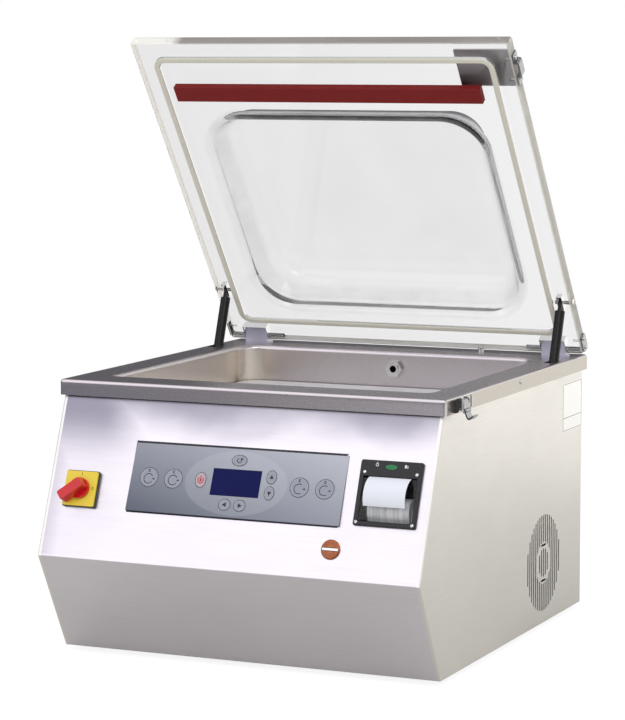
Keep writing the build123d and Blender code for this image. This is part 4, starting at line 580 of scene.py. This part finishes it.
class Print:
    """Thin printed or foil shapes on a plane, drawn in millimetres from its middle."""

    def __init__(self, name, place, across, up, thickness=0.06):
        self.name = name
        self.place = Vector(place)
        self.across = Vector(across)
        self.up = Vector(up)
        self.thickness = thickness
        self.shape = bmesh.new()

    def point(self, x, y):
        return self.shape.verts.new(self.place + (self.across * x + self.up * y) * MM)

    def polygon(self, corners):
        self.shape.faces.new([self.point(x, y) for x, y in corners])

    def block(self, left, low, right, high):
        self.polygon([(left, low), (right, low), (right, high), (left, high)])

    def ellipse(self, x, y, half_width, half_height, segments=40):
        turns = [2 * math.pi * step / segments for step in range(segments)]
        self.polygon([(x + half_width * math.cos(t), y + half_height * math.sin(t)) for t in turns])

    def band(self, x, y, half_width, half_height, width, start=0, end=360, segments=48):
        """Part of an elliptical ring between two angles in degrees."""
        pairs = []
        for step in range(segments + 1):
            turn = math.radians(start + (end - start) * step / segments)
            outer = (x + half_width * math.cos(turn), y + half_height * math.sin(turn))
            inner = (
                x + (half_width - width) * math.cos(turn),
                y + (half_height - width) * math.sin(turn),
            )
            pairs.append((self.point(*outer), self.point(*inner)))
        for first, second in zip(pairs, pairs[1:]):
            self.shape.faces.new((first[0], second[0], second[1], first[1]))

    def finish(self, material, body, slot):
        bmesh.ops.remove_doubles(self.shape, verts=self.shape.verts, dist=1e-7)
        out = self.across.cross(self.up)
        faces = list(self.shape.faces)
        top = bmesh.ops.extrude_face_region(self.shape, geom=faces)
        moved = [item for item in top["geom"] if isinstance(item, bmesh.types.BMVert)]
        bmesh.ops.translate(self.shape, verts=moved, vec=out * self.thickness * MM)
        bmesh.ops.recalc_face_normals(self.shape, faces=self.shape.faces)
        mesh = bpy.data.meshes.new(self.name)
        self.shape.to_mesh(mesh)
        self.shape.free()
        return add_piece(self.name, mesh, material, body)


# ------------------------------------------------------------------ keypad marks


class Face:
    """Outer face of a piece on the upper front sheet: its middle, directions and half sizes."""

    FACING = 0.97  # cosine between a face and the sheet's own direction

    def __init__(self, node):
        mesh = nodes[node].data
        out = Vector()
        for polygon in mesh.polygons:
            if polygon.normal.dot(SHEET_OUT) > self.FACING:
                out += polygon.normal * polygon.area
        self.out = out.normalized()
        self.up = self.out.cross(ACROSS)
        level = max(v.co.dot(self.out) for v in mesh.vertices)
        rim = [v.co for v in mesh.vertices if v.co.dot(self.out) > level - 0.05 * MM]
        middles, self.half = [], []
        for direction in (ACROSS, self.up):
            reaches = [point.dot(direction) for point in rim]
            middles.append((min(reaches) + max(reaches)) / 2)
            self.half.append((max(reaches) - min(reaches)) / 2 / MM)
        self.centre = ACROSS * middles[0] + self.up * middles[1] + self.out * level

    def point(self, across, up):
        return self.centre + (ACROSS * across + self.up * up) * MM

    def print_on(self, name, thickness=0.06):
        return Print(name, self.centre, ACROSS, self.up, thickness)


def key_print(node, suffix):
    """Print on a key's outer face, with the key's half width and half height."""
    face = Face(node)
    return face.print_on("mark_" + node + suffix), face.half[0], face.half[1]


def outline_key(node):
    """Thin dark ring along the key's edge, with a pale ring inside it."""
    rings = (("_outline", 0.15, 0.7, mark_ink), ("_inner", 0.9, 0.3, white_ink))
    for suffix, inset, width, ink in rings:
        ring, half_width, half_height = key_print(node, suffix)
        ring.band(0, 0, half_width - inset, half_height - inset, width)
        ring.finish(ink, node, "keys")


def dial_symbol(node, opening, arrow_up):
    """Generic setting symbol: a small head above an open loop with a pointer."""
    mark, _, _ = key_print(node, "_symbol")
    mark.band(0, 8.9, 2.1, 2.1, 1.1, 60, 300, 20)
    mark.band(-0.4, -2.0, 7.0, 7.0, 1.0, opening, 360 - opening, 40)
    tip = 2.4 if arrow_up else -2.4
    mark.polygon([(4.4, -2.0), (8.2, -2.0 + tip * 0.6), (8.2, -2.0 - tip * 0.6)])
    mark.finish(mark_ink, node, "keys")


def arrow_symbol(node, turn):
    """Triangle that points up, or turned from that by an angle in degrees."""
    mark, half_width, half_height = key_print(node, "_arrow")
    size = min(half_width, half_height) * 0.5
    corners = []
    for step in (90, 215, 325):
        angle = math.radians(step + turn)
        corners.append((size * math.cos(angle), size * math.sin(angle)))
    mark.polygon(corners)
    mark.finish(mark_ink, node, "keys")


for number in range(1, 5):
    outline_key("key_round_%d" % number)
    dial_symbol("key_round_%d" % number, 34 if number < 3 else 58, number % 2 == 1)
for node, turn in (("key_up", 0), ("key_left", 90), ("key_down", 180), ("key_right", 270)):
    outline_key(node)
    arrow_symbol(node, turn)
outline_key("key_set")
set_mark, _, _ = key_print("key_set", "_symbol")
set_mark.band(0, 0, 3.4, 3.4, 1.0, 110, 400, 30)
set_mark.polygon([(1.2, 1.0), (5.4, 1.4), (3.2, 4.4)])
set_mark.finish(mark_ink, "key_set", "keys")
outline_key("key_stop")
stop_mark, _, _ = key_print("key_stop", "_symbol")
stop_mark.band(0, -0.2, 4.6, 4.6, 1.2, 125, 415, 30)
stop_mark.block(-0.6, 0.6, 0.6, 5.6)
stop_mark.ellipse(0, -0.4, 1.7, 1.7, 20)
stop_mark.finish(red_ink, "key_stop", "keys")

# ------------------------------------------------------------------ controls' small details

sheet = Face("front_panel")
sheet_knee = KNEE + sheet.out * (sheet.centre - KNEE).dot(sheet.out)
pad_half = Face("keypad_housing").half[0]
# Painted shadow: dark lines in the gaps above and below the keypad housing, from the knee upwards
# in millimetres
gap_shadow_line = Print("keypad_gap_shadow", sheet_knee, ACROSS, SHEET_UP, 0.08)
gap_shadow_bands = ((160.9, 163.3), (67.0, 68.7))
for low, high in gap_shadow_bands:
    gap_shadow_line.polygon(
        [(-pad_half, low), (pad_half - 3, low), (pad_half - 1, high), (-pad_half - 0.4, high)]
    )
gap_shadow_line.finish(mark_ink, "case", "black_plastic")

bezel = Face("printer_bezel")
bezel_screws = ((-35.5, 26.5), (35.5, 26.5), (-38.2, -38.4), (38.2, -38.4))
for number, (across, up) in enumerate(bezel_screws, 1):
    dome_screw("printer_screw_%d" % number, bezel.point(across, up), bezel.out, BEZEL_SCREW, "case")
icons = bezel.print_on("printer_icons")
icons.band(-20, 36.6, 2.1, 2.1, 0.8)
icons.polygon([(-20.9, 39.2), (-19.1, 39.2), (-20, 40.6)])
icons.block(17.6, 34.2, 20.2, 38.4)
icons.block(20.8, 34.2, 22.4, 35.4)
icons.block(20.8, 36.0, 22.4, 37.2)
icons.finish(white_ink, "case", "white_plastic")

marks = Face("switch_plate").print_on("switch_marks")
marks.band(18.4, 1.0, 1.5, 2.3, 0.6)
marks.block(-0.35, 17.6, 0.35, 21.8)
marks.finish(mark_ink, "case", "yellow")

badge = Face("badge")
badge_print = badge.print_on("badge_band")
badge_print.block(-11.0, -1.5, 11.0, 1.5)
badge_print.finish(label_foil, "case", "copper")
badge_rings = badge.print_on("badge_rings")
badge_rings.band(0, 0, 11.4, 11.4, 0.4)
for up in (-2.5, 1.5):
    badge_rings.block(-10.8, up, 10.8, up + 1.0)
for step in range(3):
    radius = 9.6 - 1.7 * step
    for start in (25, 205):
        badge_rings.band(0, 0, radius, radius, 0.45, start, start + 130, 24)
badge_rings.finish(mark_ink, "case", "copper")

# ------------------------------------------------------------------ fasteners and label

CATCH_SCREW_SPREAD = 16.5 * MM  # from the catch's middle
CATCH_PLATE = 2.5 * MM
END_PLATE = 3 * MM
END_PLATE_SCREW_AHEAD = 7 * MM  # from the end plate's middle

catch_reach = (box_middle("lid_catch") - HINGE).dot(LID_REACH)
for number, side in enumerate((-1, 1), 1):
    place = HINGE + LID_REACH * (catch_reach + side * CATCH_SCREW_SPREAD)
    place.x = MIDDLE_X + LID_HALF_WIDTH + CATCH_PLATE
    dome_screw("catch_screw_%d" % number, place, ACROSS, CATCH_SCREW, "lid", shaft=(1.6, 13))

plate_reaches = [(v.co - HINGE).dot(LID_REACH) for v in nodes["hinge_pins"].data.vertices]
plate_middle = (min(plate_reaches) + max(plate_reaches)) / 2
for number, reach in enumerate((0.0, plate_middle + END_PLATE_SCREW_AHEAD), 1):
    place = HINGE + LID_REACH * reach
    place.x = MIDDLE_X + LID_HALF_WIDTH + END_PLATE
    dome_screw("end_plate_screw_%d" % number, place, ACROSS, END_PLATE_SCREW, "lid")

RIM_SCREW_PLACE = Vector((RIM_SIDE_X, 33.4 * MM, 358.9 * MM))
dome_screw("rim_screw", RIM_SCREW_PLACE, ACROSS, RIM_SCREW, "case")

LABEL_MIDDLE = Vector((SIDE_X, 263.5 * MM, 299.5 * MM))
LABEL_HALF_WIDTH, LABEL_HALF_HEIGHT = 41.0, 34.5
LINE_INSET = 1.5
HALF_LINE = 0.3
frame_half_width = LABEL_HALF_WIDTH - LINE_INSET
frame_half_height = LABEL_HALF_HEIGHT - LINE_INSET
label = Print("side_label", LABEL_MIDDLE, Vector((0, 1, 0)), Vector((0, 0, 1)), 0.1)
label.block(-LABEL_HALF_WIDTH, -LABEL_HALF_HEIGHT, LABEL_HALF_WIDTH, LABEL_HALF_HEIGHT)
label.finish(label_foil, "case", "white_plastic")
label_lines = Print("side_label_frame", label.place + ACROSS * 0.12 * MM, label.across, label.up)
divider = -15.0
for up in (-frame_half_height, divider, frame_half_height):
    label_lines.block(-frame_half_width, up - HALF_LINE, frame_half_width, up + HALF_LINE)
upright = frame_half_height - 0.4
for across in (-frame_half_width, frame_half_width):
    label_lines.block(across - HALF_LINE, -upright, across + HALF_LINE, upright)
label_lines.finish(mark_ink, "case", "white_plastic")

# ------------------------------------------------------------------ studio


def studio_world():
    """White behind the object; soft light areas of a studio for lighting and reflections."""
    world = bpy.data.worlds.new("studio")
    world.use_nodes = True
    bpy.context.scene.world = world
    tree = Nodes(world.node_tree)
    direction = tree.add("TexCoord").outputs["Generated"]
    # aim, inner and outer angle in degrees, colour
    areas = [
        ((0.0, 0.0, 1.0), 10, 62, (0.62, 0.62, 0.63)),
        ((-0.45, -0.58, 0.68), 29, 50, (1.34, 1.31, 1.37)),
        ((0.62, 0.78, -0.04), 24, 56, (1.2, 1.175, 1.125)),
        ((0.85, -0.35, 0.25), 8, 36, (0.98, 0.98, 0.98)),
    ]
    light = (0.12, 0.118, 0.13, 1.0)
    for aim, inner, outer, colour in areas:
        aim = Vector(aim).normalized()
        dot = tree.add("VectorMath", {0: direction, 1: aim}, operation="DOT_PRODUCT")
        share = tree.ramp(
            dot.outputs["Value"],
            0.0,
            1.0,
            math.cos(math.radians(outer)),
            math.cos(math.radians(inner)),
            True,
        )
        light = tree.blend(share, light, (*colour, 1.0))
    path = tree.add("LightPath")
    studio = tree.add("Background", {"Color": light, "Strength": 1.0})
    even = tree.add("Background", {"Color": (0.88, 0.88, 0.89, 1.0), "Strength": 1.0})
    diffuse = path.outputs["Is Diffuse Ray"]
    lit = tree.add("MixShader", {0: diffuse, 1: studio.outputs[0], 2: even.outputs[0]})
    white = tree.add("Background", {"Color": (1.0, 1.0, 1.0, 1.0), "Strength": 1.0})
    direct = seen_directly(tree, path)
    mixed = tree.add("MixShader", {0: direct, 1: lit.outputs[0], 2: white.outputs[0]})
    tree.add("OutputWorld", {"Surface": mixed.outputs[0]})


def seen_directly(tree, path):
    """1 for the camera's own view, straight or through clear pieces, and less for reflections."""
    through = tree.ramp(path.outputs["Glossy Depth"], 1.0, 0.2, 0.0, 1.0)
    clear = tree.math("MULTIPLY", path.outputs["Is Transmission Ray"], through)
    return tree.math("MAXIMUM", path.outputs["Is Camera Ray"], clear)


def soft_light(name, place, target, size, power):
    """Round lamp aimed at a target."""
    data = bpy.data.lights.new(name, "AREA")
    data.shape = "DISK"
    data.size = size
    data.energy = power
    lamp = bpy.data.objects.new(name, data)
    lamp.location = place
    lamp.rotation_euler = (Vector(target) - Vector(place)).to_track_quat("-Z", "Y").to_euler()
    bpy.context.collection.objects.link(lamp)


def pale_floor():
    """Round white floor that keeps the object's soft shadow."""
    mesh = bpy.data.meshes.new("floor")
    reach, sides = 1.6, 96
    corners = []
    for step in range(sides):
        turn = 2 * math.pi * step / sides
        corners.append((reach * math.cos(turn), reach * math.sin(turn), 0))
    mesh.from_pydata(corners, [], [tuple(range(sides))])
    floor = bpy.data.objects.new("floor", mesh)
    bpy.context.collection.objects.link(floor)
    material, tree = new_material("floor")
    matte = tree.add("BsdfDiffuse", {"Color": (0.58, 0.57, 0.54, 1.0)})
    soft = tree.add("BsdfDiffuse", {"Color": (0.2, 0.2, 0.2, 1.0)})
    glow = tree.add("Emission", {"Color": (0.88, 0.88, 0.88, 1.0), "Strength": 1.0})
    white = tree.add("AddShader", {0: soft.outputs[0], 1: glow.outputs[0]})
    direct = seen_directly(tree, tree.add("LightPath"))
    mixed = tree.add("MixShader", {0: direct, 1: matte.outputs[0], 2: white.outputs[0]})
    tree.surface(mixed.outputs[0])
    mesh.materials.append(material)


CAMERA_PLACE = Vector((MIDDLE_X + 1.5205, -3.4202, 0.8129))


def place_camera():
    """Long lens from the machine's right front, a little above its rim."""
    azimuth, elevation, roll = math.radians(24.18), math.radians(6.60), math.radians(-0.10)
    back = Vector(
        (
            math.sin(azimuth) * math.cos(elevation),
            -math.cos(azimuth) * math.cos(elevation),
            math.sin(elevation),
        )
    )
    right = Vector((math.cos(azimuth), math.sin(azimuth), 0))
    up = back.cross(right)
    right, up = (
        right * math.cos(roll) + up * math.sin(roll),
        up * math.cos(roll) - right * math.sin(roll),
    )
    data = bpy.data.cameras.new("camera")
    data.sensor_width = 36.0
    data.lens = 137.1
    data.clip_end = 50.0
    camera = bpy.data.objects.new("camera", data)
    turned = Matrix((right, up, back)).transposed().to_4x4()
    camera.matrix_world = Matrix.Translation(CAMERA_PLACE) @ turned
    bpy.context.collection.objects.link(camera)
    bpy.context.scene.camera = camera


studio_world()
pale_floor()
soft_light("key", (1.5, -2.4, 2.8), (0, 0, 0.35), 2.0, 26)
place_camera()
bpy.context.scene.view_settings.view_transform = "Standard"
